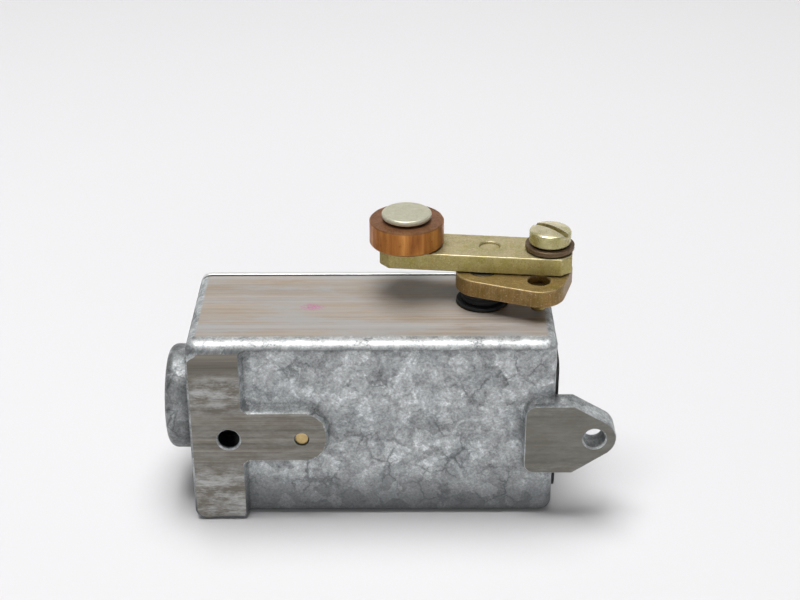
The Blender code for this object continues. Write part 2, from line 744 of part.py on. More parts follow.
def make_crank(look, screw_look, washer_look, point_look, axis):
    """The crank, its point screw, and the screw and washer that clamp the lever to it."""
    lever_hole = on_circle(LEVER_HOLE_REACH, LEVER_HOLE_ANGLE)
    spare_hole = on_circle(SPARE_HOLE_REACH, SPARE_HOLE_ANGLE)
    outline = hull(
        circle((0, 0), SHAFT_RADIUS + CRANK_HUB_WALL, FINE)
        + circle(lever_hole, CRANK_LEVER_END_RADIUS, FINE)
        + circle(spare_hole, CRANK_END_RADIUS, FINE)
    )
    top = CRANK_Z + CRANK_THICKNESS
    crank = add("crank", prism(outline, CRANK_Z, top), look, axis)
    low, high = CRANK_Z - MARGIN, top + MARGIN
    holes = [
        rod(SHAFT_NECK_RADIUS + FIT, low, high),
        shifted(rod(LEVER_SCREW_RADIUS + FIT, low, high), (*lever_hole, 0)),
        shifted(rod(POINT_SCREW_RADIUS + FIT, low, high), (*spare_hole, 0)),
    ]
    boolean(crank, joined(*holes))

    # The point screw stands in the spare hole, sunk below the face, its dog point hanging out.
    sunk = CRANK_THICKNESS * 0.45
    body = turned(
        [
            (0, -POINT_LENGTH),
            (POINT_RADIUS * 0.8, -POINT_LENGTH),
            (POINT_RADIUS, -POINT_LENGTH + POINT_RADIUS * 0.3),
            (POINT_RADIUS, 0),
            (POINT_SCREW_RADIUS, POINT_SCREW_RADIUS - POINT_RADIUS),
            (POINT_SCREW_RADIUS, CRANK_THICKNESS - sunk),
            (0, CRANK_THICKNESS - sunk),
        ],
        COARSE,
    )
    point = add("crank_point_screw", body, point_look, axis, at=(*spare_hole, CRANK_Z))
    slot_depth = (CRANK_THICKNESS - sunk) / 3
    boolean(
        point,
        box(
            (-2 * POINT_SCREW_RADIUS, -SLOT_WIDTH / 2, CRANK_THICKNESS - sunk - slot_depth),
            (2 * POINT_SCREW_RADIUS, SLOT_WIDTH / 2, CRANK_THICKNESS),
        ),
    )

    washer_z = LEVER_Z + LEVER_THICKNESS + SEAT
    washer = add(
        "lever_washer",
        tube(LEVER_SCREW_RADIUS + FIT, WASHER_RADIUS, 0, WASHER_THICKNESS, FINE),
        washer_look, axis, at=(*lever_hole, washer_z),
    )  # fmt: skip
    half = WASHER_SPLIT / 2
    boolean(washer, box((0, -half, -MARGIN), (2 * WASHER_RADIUS, half, WASHER_THICKNESS + MARGIN)))

    head_z = washer_z + WASHER_THICKNESS + SEAT
    length = head_z - CRANK_Z - SEAT
    head, height, edge = LEVER_HEAD_RADIUS, LEVER_HEAD_HEIGHT, LEVER_HEAD_ROUND
    body = turned(
        [(0, -length), (LEVER_SCREW_RADIUS, -length), (LEVER_SCREW_RADIUS, 0), (head, 0)]
        + arc((head - edge, height - edge), edge, 0, math.pi / 2, 3)
        + [(0, height)],
        FINE,
    )
    screw = add("lever_screw", body, screw_look, axis, at=(*lever_hole, head_z), turn=LEVER_SLOT_ANGLE)
    half = LEVER_SLOT_WIDTH / 2
    boolean(
        screw,
        box((-2 * head, -half, height - LEVER_SLOT_DEPTH), (2 * head, half, height + MARGIN)),
    )
    return lever_hole


def lever_outline():
    """A straight bar with its four corners cut off."""
    half = LEVER_WIDTH / 2
    cut = LEVER_CHAMFER
    near, far = -LEVER_SCREW_END, LEVER_REACH + LEVER_ROLLER_END
    return [
        (near + cut, -half),
        (far - cut, -half),
        (far, cut - half),
        (far, half - cut),
        (far - cut, half),
        (near + cut, half),
        (near, half - cut),
        (near, cut - half),
    ]


def make_lever(look, pin_look, roller_look, pivot, roller_axis):
    """The roller lever, drawn along +X from the clamp screw, its pin and its roller."""
    top = LEVER_THICKNESS
    lever = add("roller_lever", prism(lever_outline(), 0, top), look, pivot, turn=LEVER_ANGLE)
    recess = rod(LEVER_RECESS_RADIUS, top - LEVER_RECESS_DEPTH, top + MARGIN)
    holes = [
        rod(LEVER_SCREW_RADIUS + FIT, -MARGIN, top + MARGIN),
        shifted(recess, (LEVER_RECESS_REACH, 0, 0)),
        shifted(rod(ROLLER_PIN_RADIUS + FIT, -MARGIN, top + MARGIN), (LEVER_REACH, 0, 0)),
    ]
    boolean(lever, joined(*holes))

    roller_low = LEVER_THICKNESS + SEAT
    roller_high = roller_low + ROLLER_WIDTH
    bore = ROLLER_PIN_RADIUS + RUN
    c = ROLLER_CHAMFER
    roller = turned(
        [
            (bore, 0),
            (ROLLER_RADIUS - c, 0),
            (ROLLER_RADIUS, c),
            (ROLLER_RADIUS, ROLLER_WIDTH - c),
            (ROLLER_RADIUS - c, ROLLER_WIDTH),
            (bore, ROLLER_WIDTH),
        ],
        FINE,
        ring=True,
    )
    add("roller", roller, roller_look, roller_axis, at=(0, 0, roller_low))

    cap_low = roller_high + ROLLER_PLAY
    cap_high = cap_low + ROLLER_CAP_THICKNESS
    r, edge = ROLLER_CAP_RADIUS, ROLLER_CAP_ROUND
    pin = turned(
        [
            (0, 0),
            (ROLLER_PIN_RADIUS, 0),
            (ROLLER_PIN_RADIUS, cap_low),
            (r - edge, cap_low),
            (r, cap_low + edge),
            (r, cap_high - edge),
            (r - edge, cap_high),
            (0, cap_high),
        ],
        FINE,
    )
    add("roller_pin", pin, pin_look, roller_axis)


# ---------------------------------------------------------------- the contact unit
def make_contact_base(look, screw_look):
    channel = SLIDER_HALF_HEIGHT + SLIDER_RUN
    floor = UNIT_REAR - SLIDER_SINK
    low = (UNIT_LEFT, UNIT_FRONT, FIXING_Z - UNIT_HALF_HEIGHT)
    high = (UNIT_RIGHT, UNIT_REAR, FIXING_Z + UNIT_HALF_HEIGHT)
    base = add("contact_base", box(low, high), look)
    slide = box(
        (SLIDER_X - CHANNEL_HALF, floor, FIXING_Z - channel),
        (SLIDER_X + CHANNEL_HALF, UNIT_REAR + MARGIN, FIXING_Z + channel),
    )
    boolean(base, slide)
    stem_slot = STEM_RADIUS + SLIDER_RUN
    stem_way = box(
        (SLIDER_X + CHANNEL_HALF - MARGIN, STEM_Y - stem_slot, FIXING_Z - stem_slot),
        (UNIT_RIGHT + MARGIN, UNIT_REAR + MARGIN, FIXING_Z + stem_slot),
    )
    boolean(base, stem_way)
    head_floor = UNIT_REAR - UNIT_HEAD_SINK
    along_y = (0, 1, 0)
    holes = [
        shifted(
            aimed(rod(UNIT_SCREW_RADIUS + FIT, -MARGIN, UNIT_DEPTH + MARGIN, COARSE), along_y),
            (UNIT_SCREW_X, UNIT_FRONT, FIXING_Z),
        )
    ]
    for x, z in terminal_places():
        hole = aimed(rod(TERMINAL_SCREW_RADIUS + FIT, 0, TERMINAL_SCREW_LENGTH + MARGIN, COARSE), along_y)
        holes.append(shifted(hole, (x, UNIT_REAR - TERMINAL_SCREW_LENGTH, z)))
    boolean(base, joined(*holes))
    recess = aimed(rod(UNIT_HEAD_RADIUS + FIT, 0, UNIT_HEAD_SINK + MARGIN, COARSE), along_y)
    boolean(base, shifted(recess, (UNIT_SCREW_X, head_floor, FIXING_Z)))

    head_face = head_floor + SEAT
    small_screw(
        "contact_base_screw", screw_look, (UNIT_SCREW_X, head_face, FIXING_Z), along_y,
        UNIT_SCREW_RADIUS, head_face - FRONT - UNIT_SCREW_TIP, UNIT_HEAD_RADIUS, UNIT_HEAD_HEIGHT,
    )  # fmt: skip


def make_slider(look, bridge_look, spring_look, axis):
    """The slider with its stem and fork, and the contact bridge it carries. axis is at SLIDER_X."""
    half, high = SLIDER_HALF_LENGTH, SLIDER_HALF_HEIGHT
    slider = add(
        "contact_slider",
        box((-half, SLIDER_FRONT, -high), (half, SLIDER_REAR, high)),
        look, axis,
    )  # fmt: skip
    fork_near = SLIDER_FROM_SHAFT - FORK_HALF_LENGTH
    fork_far = SLIDER_FROM_SHAFT + FORK_HALF_LENGTH
    stem = aimed(rod(STEM_RADIUS, STEM_SINK - half, fork_near + STEM_SINK, COARSE), (1, 0, 0))
    boolean(slider, shifted(stem, (0, STEM_Y, 0)), "UNION")
    pin_y = SHAFT_Y - DRIVE_PIN_REACH
    fork_front = min(STEM_Y - STEM_RADIUS, pin_y - DRIVE_PIN_RADIUS - FORK_FRONT_WALL)
    fork_rear = pin_y + DRIVE_PIN_RADIUS + FORK_REAR_WALL
    fork = box((fork_near, fork_front, -high), (fork_far, fork_rear, high))
    boolean(slider, fork, "UNION")
    slot = DRIVE_PIN_RADIUS + FORK_SLOT_PLAY
    slot_way = box(
        (SLIDER_FROM_SHAFT - slot, pin_y - slot, -high - MARGIN),
        (SLIDER_FROM_SHAFT + slot, fork_rear + MARGIN, high + MARGIN),
    )
    boolean(slider, slot_way)
    room = BRIDGE_WIDTH / 2 + SEAT
    window = box(
        (-half / 2, BRIDGE_Y - room, -high - MARGIN),
        (half / 2, BRIDGE_Y + room, high + MARGIN),
    )
    boolean(slider, window)

    thick, wide, reach = BRIDGE_THICKNESS / 2, BRIDGE_WIDTH / 2, TERMINAL_Z + BUTTON_RADIUS + BRIDGE_END
    bridge = add(
        "contact_bridge",
        box((-thick, BRIDGE_Y - wide, -reach), (thick, BRIDGE_Y + wide, reach)),
        bridge_look, axis,
    )  # fmt: skip
    face = thick + BUTTON_HEIGHT
    for z in (-TERMINAL_Z, TERMINAL_Z):
        button = aimed(rod(BUTTON_RADIUS, -face, face, COARSE), (1, 0, 0))
        boolean(bridge, shifted(button, (0, BRIDGE_Y, z)), "UNION")

    for name, start, length in (
        ("bridge_spring_left", -half / 2 + SEAT, half / 2 - thick - 2 * SEAT),
        ("bridge_spring_right", thick + SEAT, half / 2 - thick - 2 * SEAT),
    ):
        spring = coil(name, length, BRIDGE_WIDTH / 2 - 0.0003, SPRING_WIRE * 0.8, 2)
        spring.data.materials.append(spring_look)
        spring.parent = axis
        spring.location = (start, BRIDGE_Y, 0)


def coil(name, length, radius, wire, turns):
    """A compression spring along +X from its own origin, as a bevelled curve."""
    curve = bpy.data.curves.new(name, "CURVE")
    curve.dimensions = "3D"
    curve.bevel_depth = wire
    curve.bevel_resolution = 1
    curve.use_fill_caps = True
    steps = 12 * turns
    spline = curve.splines.new("POLY")
    spline.points.add(steps)
    run = length - 2 * wire
    for i, point in enumerate(spline.points):
        angle = math.tau * turns * i / steps
        point.co = (
            wire + run * i / steps,
            radius * math.cos(angle),
            radius * math.sin(angle),
            1,
        )
    made = bpy.data.objects.new(name, curve)
    bpy.context.scene.collection.objects.link(made)
    return made


def make_return_springs(look):
    """Two springs hold the slider in the middle of its channel."""
    room = SPRING_ROOM - 2 * SEAT
    for name, start in (
        ("return_spring_left", SLIDER_X - CHANNEL_HALF + SEAT),
        ("return_spring_right", SLIDER_X + SLIDER_HALF_LENGTH + SEAT),
    ):
        spring = coil(name, room, SPRING_RADIUS, SPRING_WIRE, SPRING_TURNS)
        spring.data.materials.append(look)
        spring.location = (start, STEM_Y, FIXING_Z)


def terminal_start():
    """How far each terminal's tab stands from the middle of the bridge."""
    return BRIDGE_THICKNESS / 2 + 2 * BUTTON_HEIGHT + CONTACT_REST_GAP


def terminal_places():
    """The X and Z of each terminal screw: left low, left high, right low, right high."""
    reach = terminal_start() + TERMINAL_THICKNESS + (TERMINAL_LENGTH - TERMINAL_THICKNESS) / 2
    return [
        (SLIDER_X + side * reach, FIXING_Z + level)
        for side in (-1, 1)
        for level in (-TERMINAL_Z, TERMINAL_Z)
    ]


def make_terminals(look, screw_look, clamp_look):
    along_y = (0, 1, 0)
    foot = UNIT_REAR + SEAT
    half = TERMINAL_WIDTH / 2
    reach = terminal_start() + TERMINAL_THICKNESS + (TERMINAL_LENGTH - TERMINAL_THICKNESS) / 2
    for number, (x, z) in enumerate(terminal_places(), 1):
        side = -1 if x < SLIDER_X else 1
        near = side * (terminal_start() - reach)
        bend = near + side * TERMINAL_THICKNESS
        far = near + side * TERMINAL_LENGTH
        outline = [
            (near, 0),
            (far, 0),
            (far, TERMINAL_THICKNESS),
            (bend, TERMINAL_THICKNESS),
            (bend, TAB_HEIGHT),
            (near, TAB_HEIGHT),
        ]
        terminal = add(f"terminal_{number}", prism(outline, -half, half), look, at=(x, foot, z))
        button = aimed(rod(BUTTON_RADIUS, -TERMINAL_THICKNESS / 2, BUTTON_HEIGHT, COARSE), (-side, 0, 0))
        boolean(terminal, shifted(button, (near, BRIDGE_Y - foot, 0)), "UNION")
        drill = rod(TERMINAL_SCREW_RADIUS + FIT, -MARGIN, TERMINAL_THICKNESS + MARGIN, COARSE)
        hole = aimed(drill, along_y)
        boolean(terminal, hole)

        edge = CLAMP_SIZE / 2
        clamp_y = foot + TERMINAL_THICKNESS + SEAT
        clamp = add(
            f"terminal_clamp_{number}",
            box((-edge, 0, -edge), (edge, CLAMP_THICKNESS, edge)),
            clamp_look,
            at=(x + side * CLAMP_OFFSET, clamp_y, z),
        )
        hole = aimed(rod(TERMINAL_SCREW_RADIUS + FIT, -MARGIN, MARGIN, COARSE), along_y)
        boolean(clamp, shifted(hole, (-side * CLAMP_OFFSET, 0, 0)))
        head_y = clamp_y + CLAMP_THICKNESS + SEAT
        small_screw(
            f"terminal_screw_{number}", screw_look, (x, head_y, z), along_y,
            TERMINAL_SCREW_RADIUS, head_y - UNIT_REAR + TERMINAL_SCREW_LENGTH - 2 * SEAT,
            TERMINAL_HEAD_RADIUS, TERMINAL_HEAD_HEIGHT, turn=math.radians(20 + 50 * number),
        )  # fmt: skip


# ---------------------------------------------------------------- the whole switch
def main():
    clear_scene()
    cast_metal = material("cast_metal", (0.50, 0.51, 0.52), 0.5, 0.9)
    bright_steel = material("bright_steel", (0.60, 0.58, 0.52), 0.35, 1.0)
    plated_steel = material("plated_steel", (0.50, 0.44, 0.24), 0.4, 1.0)
    plated_screw = material("plated_screw", (0.62, 0.56, 0.36), 0.3, 1.0)
    dark_steel = material("dark_steel", (0.14, 0.10, 0.08), 0.5, 1.0)
    bronze = material("bronze", (0.42, 0.20, 0.08), 0.4, 1.0)
    brass = material("brass", (0.72, 0.50, 0.20), 0.35, 1.0)
    nickel = material("nickel", (0.60, 0.60, 0.52), 0.4, 1.0)
    phenolic = material("phenolic", (0.03, 0.025, 0.02), 0.5, 0.0)
    fibre = material("fibre", (0.05, 0.05, 0.05), 0.8, 0.0)
    black_paint = material("black_paint", (0.02, 0.02, 0.02), 0.4, 0.0)

    make_case(cast_metal)
    make_cover(cast_metal, fibre, bright_steel)
    make_end_plate(black_paint, bright_steel)
    make_earth_terminal(brass, bright_steel)
    make_bush_and_seal(bronze, fibre)

    shaft_axis = empty("shaft_axis", (SHAFT_X, SHAFT_Y, 0))
    make_shaft(bright_steel, dark_steel, bright_steel, bright_steel, shaft_axis)
    lever_hole = make_crank(plated_steel, plated_screw, dark_steel, brass, shaft_axis)
    lever_pivot = empty("lever_pivot", (*lever_hole, LEVER_Z), shaft_axis)
    roller_axis = empty("roller_axis", (*on_circle(LEVER_REACH, LEVER_ANGLE), 0), lever_pivot)
    make_lever(plated_steel, nickel, bronze, lever_pivot, roller_axis)

    make_contact_base(phenolic, brass)
    slider_axis = empty("slider_axis", (SLIDER_X, 0, FIXING_Z))
    make_slider(phenolic, brass, bright_steel, slider_axis)
    make_return_springs(bright_steel)
    make_terminals(brass, bright_steel, bright_steel)


main()
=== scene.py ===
"""A roller-lever limit switch, standing on its lower long side on a plain pale floor.

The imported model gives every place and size. The pieces that show are made again here with fine
surfaces, and the pieces inside the case keep their own shapes and get a finish of their own.
Metres throughout, +Z up. The bolting side faces -Y.
"""

import json
import math

import bmesh
import bpy
import numpy as np
from mathutils import Matrix, Vector, noise


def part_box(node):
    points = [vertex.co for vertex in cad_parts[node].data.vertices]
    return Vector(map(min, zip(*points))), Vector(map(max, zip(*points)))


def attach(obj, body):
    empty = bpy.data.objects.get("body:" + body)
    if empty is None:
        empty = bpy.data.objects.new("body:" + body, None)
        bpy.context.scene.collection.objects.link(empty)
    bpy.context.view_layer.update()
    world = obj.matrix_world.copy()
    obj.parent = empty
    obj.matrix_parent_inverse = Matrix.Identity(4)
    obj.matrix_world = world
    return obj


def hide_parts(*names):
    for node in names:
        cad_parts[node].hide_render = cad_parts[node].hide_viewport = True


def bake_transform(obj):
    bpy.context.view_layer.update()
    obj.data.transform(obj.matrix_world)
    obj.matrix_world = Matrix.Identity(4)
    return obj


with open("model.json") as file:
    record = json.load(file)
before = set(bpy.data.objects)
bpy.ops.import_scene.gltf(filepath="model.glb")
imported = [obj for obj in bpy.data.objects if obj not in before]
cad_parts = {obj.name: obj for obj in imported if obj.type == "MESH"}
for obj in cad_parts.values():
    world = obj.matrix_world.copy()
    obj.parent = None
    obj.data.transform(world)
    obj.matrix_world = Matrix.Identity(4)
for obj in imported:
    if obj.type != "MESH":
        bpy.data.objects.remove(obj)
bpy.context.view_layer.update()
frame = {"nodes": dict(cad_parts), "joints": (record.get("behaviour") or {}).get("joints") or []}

# ---------------------------------------------------------------- sizes that the looks add
MARGIN = 0.002
FINE = 96
ROUND = 48
SHARP_ANGLE = math.radians(34)

# The casting.
CASE_ROUND = 0.003
SUNK_ROUND = 0.0024
BAR_ROUND = 0.0006
BAR_FOOT_ROUND = 0.0012
PAD_HEIGHT = 0.0025
BAR_WIDTH = 0.0124
TONGUE_RISE = 0.0073
TONGUE_DROP = 0.0059
TONGUE_END = 0.0058
TONGUE_CORNER = 0.0054
LIP_HEIGHT = 0.0017
INNER_CORNER = 0.0022
BAR_FOOT_CORNER = 0.0016
DRAFT_RUN = 0.0011
MOUND_SINK = 0.0001
FLOW_LINE_DEPTH = 0.00022
FLOW_LINE_WIDTH = 0.00028
UPPER_FLOW_LINE = [(-0.0118, 0.0400), (-0.0114, 0.0372), (-0.0122, 0.0340), (-0.0131, 0.0306)]
LOWER_FLOW_LINE = [(-0.0136, 0.0170), (-0.0129, 0.0135), (-0.0122, 0.0110)]
WAVINESS = 0.00007
WAVE_SCALE = 210
COARSE_STEP = 0.0006
FINE_STEP = 0.0002
END_WALL = 0.0035
FLOOR_WALL = 0.0035
TOP_WALL = 0.0055
FRONT_WALL = 0.006
PILLAR = 0.0075
FIXING_HOLE_RADIUS = 0.0026
HOLE_CHAMFER = 0.0004
CONDUIT_RADIUS = 0.0093
THREAD_PITCH = 0.0015
THREAD_DEPTH = 0.0007
BOSS_RADIUS = 0.0128
BOSS_ROUND = 0.0022
BUSH_BOSS_WALL = 0.0028
FIT = 0.0002
SEAL_SLACK = 0.0011
SEAL_FLANGE = 0.0007
SEAL_BEAD = 0.0006
SEAL_BORE = 0.0041
GASKET_GAP = 0.00025
COVER_SCREW_HOLE = 0.002
RIVET_HOLE = 0.0013
EARTH_SCREW_HOLE = 0.0017
BASE_SCREW_RADIUS = 0.0016
SCREW_HEAD_HEIGHT = 0.0022
RIVET_HEAD_HEIGHT = 0.0006
PANEL_SIDE_BORDER = 0.0125
PANEL_BORDER = 0.0055
PANEL_DEPTH = 0.0005
PLATE_FIELD_DEPTH = 0.00018
INK_X, INK_Y = -0.0145, -0.0006
INK_WIDTH, INK_LENGTH = 0.0030, 0.0017

# The ear.
EAR_THICKNESS = 0.006
EAR_RISE = 0.009
EAR_DROP = 0.0097
EAR_SHOULDER = 0.0043
EAR_PAD_INSET = 0.0073
EAR_NOSE_RADIUS = 0.0052
EAR_HOLE_OVERHANG = 0.0093
EAR_CORNER = 0.0026

# The lever work.
EDGE_ROUND = 0.00035
CRANK_HUB_RADIUS = 0.0065
CRANK_LEVER_END_RADIUS = 0.0057
CRANK_SPARE_END_RADIUS = 0.0063
SHAFT_NECK_RADIUS = 0.003
LEVER_SCREW_RADIUS = 0.003
LEVER_CHAMFER = 0.0024
LEVER_HALF_WIDTH = 0.006
LEVER_SCREW_END = 0.0055
LEVER_ROLLER_END = 0.0062
LEVER_RECESS_REACH = 0.0144
LEVER_RECESS_RADIUS = 0.00255
LEVER_RECESS_DEPTH = 0.00055
LEVER_SLOT_WIDTH = 0.0016
LEVER_SLOT_DEPTH = 0.0017
LEVER_SLOT_ANGLE = math.radians(-43)
HEAD_CROWN = 0.0006
HEAD_EDGE = 0.0007
POINT_SCREW_RADIUS = 0.0025
POINT_RADIUS = 0.00175
POINT_SLOT_ANGLE = 0.6
ROLLER_PIN_RADIUS = 0.0029
ROLLER_BORE = 0.00305

# Floor, light and camera. A lamp is (name, position, size, power).
FLOOR_HALF_WIDTH = 6.0
FLOOR_THICKNESS = 0.01
FLOOR_DROP = 0.00005
FLOOR_FADE = (0.7, 2.4)
BACKDROP = 0.88
LIGHT_TARGET = (0.0, 0.0, 0.03)
LAMPS = [
    ("overhead", (-0.08, 0.05, 1.25), (0.80, 0.70), 18.8),
    ("front fill", (0.1, -1.2, 0.28), (1.6, 0.5), 2.9),
    ("rear", (0.0, 1.3, 0.75), (1.6, 0.5), 1.1),
]
CAMERA_PLACE = (0.007855, -0.335913, 0.227633)
CAMERA_TURNS = (27.797, -0.214, 0.264)
CAMERA_SENSOR = 36
CAMERA_LENS = 71.03

# ---------------------------------------------------------------- places, read from the model
joints = {joint["name"]: joint for joint in frame["joints"]}


def low(node, axis):
    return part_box(node)[0][axis]


def high(node, axis):
    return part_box(node)[1][axis]


def span(node, axis):
    return low(node, axis), high(node, axis)


def middle(node, axis):
    return (low(node, axis) + high(node, axis)) / 2


def half_width(node, axis=0):
    return (high(node, axis) - low(node, axis)) / 2


X, Y, Z = range(3)
COVER_SCREWS = [f"cover_screw_{n}" for n in range(1, 5)]
RIVETS = ["end_plate_rivet_1", "end_plate_rivet_2"]
LEFT, RIGHT = span("cover", X)
CASE_HEIGHT = high("cover", Z)
FRONT = low("case", Y)
COVER_FRONT, COVER_REAR = span("cover", Y)
REAR = low("cover_gasket", Y) - GASKET_GAP
FIXING_Z = middle("contact_base_screw", Z)
UNIT_SCREW_X = middle("contact_base_screw", X)
FIXING_X = LEFT + 0.0092
EAR_HOLE_X = RIGHT + EAR_HOLE_OVERHANG
BOSS_END = low("case", X)
BOSS_PLACE = (LEFT, -0.0015, 0.025)
SHAFT = (*joints["shaft_turn"]["pos_m"][:2], 0)
SCREW = (*joints["lever_set"]["pos_m"][:2], 0)
ROLLER = (*joints["roller_spin"]["pos_m"][:2], 0)
SPARE = (middle("crank_point_screw", X), middle("crank_point_screw", Y), 0)
CRANK_LOW, CRANK_TOP = span("crank", Z)
LEVER_LOW, LEVER_TOP = span("roller_lever", Z)
LEVER_REACH = math.hypot(ROLLER[X] - SCREW[X], ROLLER[Y] - SCREW[Y])
LEVER_ANGLE = math.atan2(ROLLER[Y] - SCREW[Y], ROLLER[X] - SCREW[X])


# ---------------------------------------------------------------- shape helpers
def arc(centre, radius, start, end, steps=8):
    """Points along an arc, from one angle to another."""
    turns = [start + (end - start) * i / steps for i in range(steps + 1)]
    return [(centre[0] + radius * math.cos(t), centre[1] + radius * math.sin(t)) for t in turns]


def circle(centre, radius, steps=FINE):
    return arc(centre, radius, 0, 2 * math.pi * (1 - 1 / steps), steps - 1)


def rounded_rectangle(lowest, highest, radius, steps=8):
    (x0, z0), (x1, z1) = lowest, highest
    quarter = math.pi / 2
    corners = [(x1 - radius, z0 + radius), (x1 - radius, z1 - radius)]
    corners += [(x0 + radius, z1 - radius), (x0 + radius, z0 + radius)]
    points = []
    for number, corner in enumerate(corners):
        points += arc(corner, radius, (number - 1) * quarter, number * quarter, steps)
    return points


def hull(points):
    """The convex outline round some points, anticlockwise."""
    points = sorted(set(points))

    def half(run):
        kept = []
        for p in run:
            while len(kept) > 1:
                (ax, ay), (bx, by) = kept[-2], kept[-1]
                if (bx - ax) * (p[1] - ay) - (by - ay) * (p[0] - ax) > 1e-12:
                    break
                kept.pop()
            kept.append(p)
        return kept[:-1]

    return half(points) + half(points[::-1])


def closed(work):
    """Merge doubles and turn every face outwards."""
    bmesh.ops.remove_doubles(work, verts=work.verts, dist=1e-7)
    bmesh.ops.recalc_face_normals(work, faces=work.faces)
    return work


def prism(outline, start, end, axis="Z"):
    """An outline pushed along Z, or an XZ outline pushed along Y."""
    work = bmesh.new()

    def corner(a, b, c):
        return (a, c, b) if axis == "Y" else (a, b, c)

    first = [work.verts.new(corner(a, b, start)) for a, b in outline]
    last = [work.verts.new(corner(a, b, end)) for a, b in outline]
    work.faces.new(first)
    work.faces.new(last)
    for i in range(len(first)):
        j = (i + 1) % len(first)
        work.faces.new((first[i], first[j], last[j], last[i]))
    return closed(work)


def turned(profile, steps=FINE, ring=False):
    """A profile of (radius, height) points turned round Z. A ring's profile closes on itself."""
    work = bmesh.new()
    rows = []
    for radius, height in profile:
        if radius < 1e-9:
            rows.append([work.verts.new((0, 0, height))])
        else:
            rows.append([work.verts.new((x, y, height)) for x, y in circle((0, 0), radius, steps)])
    pairs = list(zip(rows, rows[1:]))
    if ring:
        pairs.append((rows[-1], rows[0]))
    for a, b in pairs:
        for i in range(steps):
            j = (i + 1) % steps
            corners = [a[i % len(a)], a[j % len(a)], b[j % len(b)], b[i % len(b)]]
            corners = [c for k, c in enumerate(corners) if c not in corners[:k]]
            if len(corners) > 2:
                work.faces.new(corners)
    return closed(work)


def rod(radius, start, end, steps=ROUND):
    return turned([(0, start), (radius, start), (radius, end), (0, end)], steps)


def box(lowest, highest):
    (x0, y0, z0), (x1, y1, z1) = lowest, highest
    return prism([(x0, y0), (x1, y0), (x1, y1), (x0, y1)], z0, z1)


def aimed(work, direction):
    """Turn what was drawn along Z so that it points along a direction."""
    turn = Vector((0, 0, 1)).rotation_difference(Vector(direction)).to_matrix()
    bmesh.ops.transform(work, matrix=turn.to_4x4(), verts=work.verts)
    return work


def placed(work, place, turn=0.0):
    """Turn a shape round Z and put it in its place."""
    move = Matrix.Translation(place) @ Matrix.Rotation(turn, 4, "Z")
    bmesh.ops.transform(work, matrix=move, verts=work.verts)
    return work


def object_from(name, work):
    mesh = bpy.data.meshes.new(name)
    work.to_mesh(mesh)
    work.free()
    made = bpy.data.objects.new(name, mesh)
    bpy.context.scene.collection.objects.link(made)
    return made


def applied(piece):
    """Bake the modifiers of a piece into its mesh."""
    bpy.context.view_layer.update()
    graph = bpy.context.evaluated_depsgraph_get()
    mesh = bpy.data.meshes.new_from_object(piece.evaluated_get(graph))
    piece.modifiers.clear()
    old = piece.data
    piece.data = mesh
    bpy.data.meshes.remove(old)
    return piece


def combine(piece, work, operation="DIFFERENCE"):
    """Cut, join or trim a piece with a shape."""
    tool = object_from("tool", work)
    step = piece.modifiers.new("combine", "BOOLEAN")
    step.operation = operation
    step.object = tool
    step.solver = "EXACT"
    applied(piece)
    mesh = tool.data
    bpy.data.objects.remove(tool)
    bpy.data.meshes.remove(mesh)
    return piece


def joined(*works):
    """Several separate shapes as one cutter."""
    whole = works[0]
    for work in works[1:]:
        mesh = bpy.data.meshes.new("part")
        work.to_mesh(mesh)
        work.free()
        whole.from_mesh(mesh)
        bpy.data.meshes.remove(mesh)
    return whole


def eased(piece, width, segments=3, angle=SHARP_ANGLE):
    """Round the sharp edges of a piece."""
    step = piece.modifiers.new("rounding", "BEVEL")
    step.width = width
    step.segments = segments
    step.limit_method = "ANGLE"
    step.angle_limit = angle
    step.miter_outer = "MITER_ARC"
    return applied(piece)


def smoothed(piece):
    """Shade the round faces smooth and keep the flat ones flat."""
    piece.data.shade_smooth()
    piece.data.set_sharp_from_angle(angle=SHARP_ANGLE)
    step = piece.modifiers.new("flat faces", "WEIGHTED_NORMAL")
    step.keep_sharp = True
    return applied(piece)


def finished(piece, look, body, slot, *nodes):
    """Give a piece its finish and its body, and hide the nodes that it stands for. The slot is not
    used.
    """
    smoothed(piece)
    piece.data.materials.clear()
    piece.data.materials.append(look)
    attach(piece, body)
    if nodes:
        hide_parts(*nodes)
    return piece


# ---------------------------------------------------------------- what a finish is written with
FLOAT, VECTOR = "NodeSocketFloat", "NodeSocketVector"


def tone(code):
    """A colour written as a web code, in the linear values that shaders use."""
    parts = [int(code[i : i + 2], 16) / 255 for i in (0, 2, 4)]
    return (*[p / 12.92 if p <= 0.04045 else ((p + 0.055) / 1.055) ** 2.4 for p in parts], 1.0)


class Value:
    """What a socket gives, so that a finish can be written as sums and products."""

    def __init__(self, socket):
        self.socket = socket
        self.tree = socket.id_data

    def maths(self, operation, *others, clamp=False):
        inputs = dict(enumerate((self, *others)))
        return output(place(self.tree, "ShaderNodeMath", inputs, operation=operation, use_clamp=clamp))

    def __add__(self, other):
        return self.maths("ADD", other)

    def __sub__(self, other):
        return self.maths("SUBTRACT", other)

    def __mul__(self, other):
        return self.maths("MULTIPLY", other)

    def __truediv__(self, other):
        return self.maths("DIVIDE", other)

    def levels(self, start, end, to_start=0.0, to_end=1.0, smooth=False):
        """Stretched from one range to another, and held inside it."""
        inputs = {"Value": self, 1: start, 2: end, 3: to_start, 4: to_end}
        kind = "SMOOTHSTEP" if smooth else "LINEAR"
        node = place(self.tree, "ShaderNodeMapRange", inputs, interpolation_type=kind, clamp=True)
        return output(node)


def output(node, key=0):
    return Value(node.outputs[key])


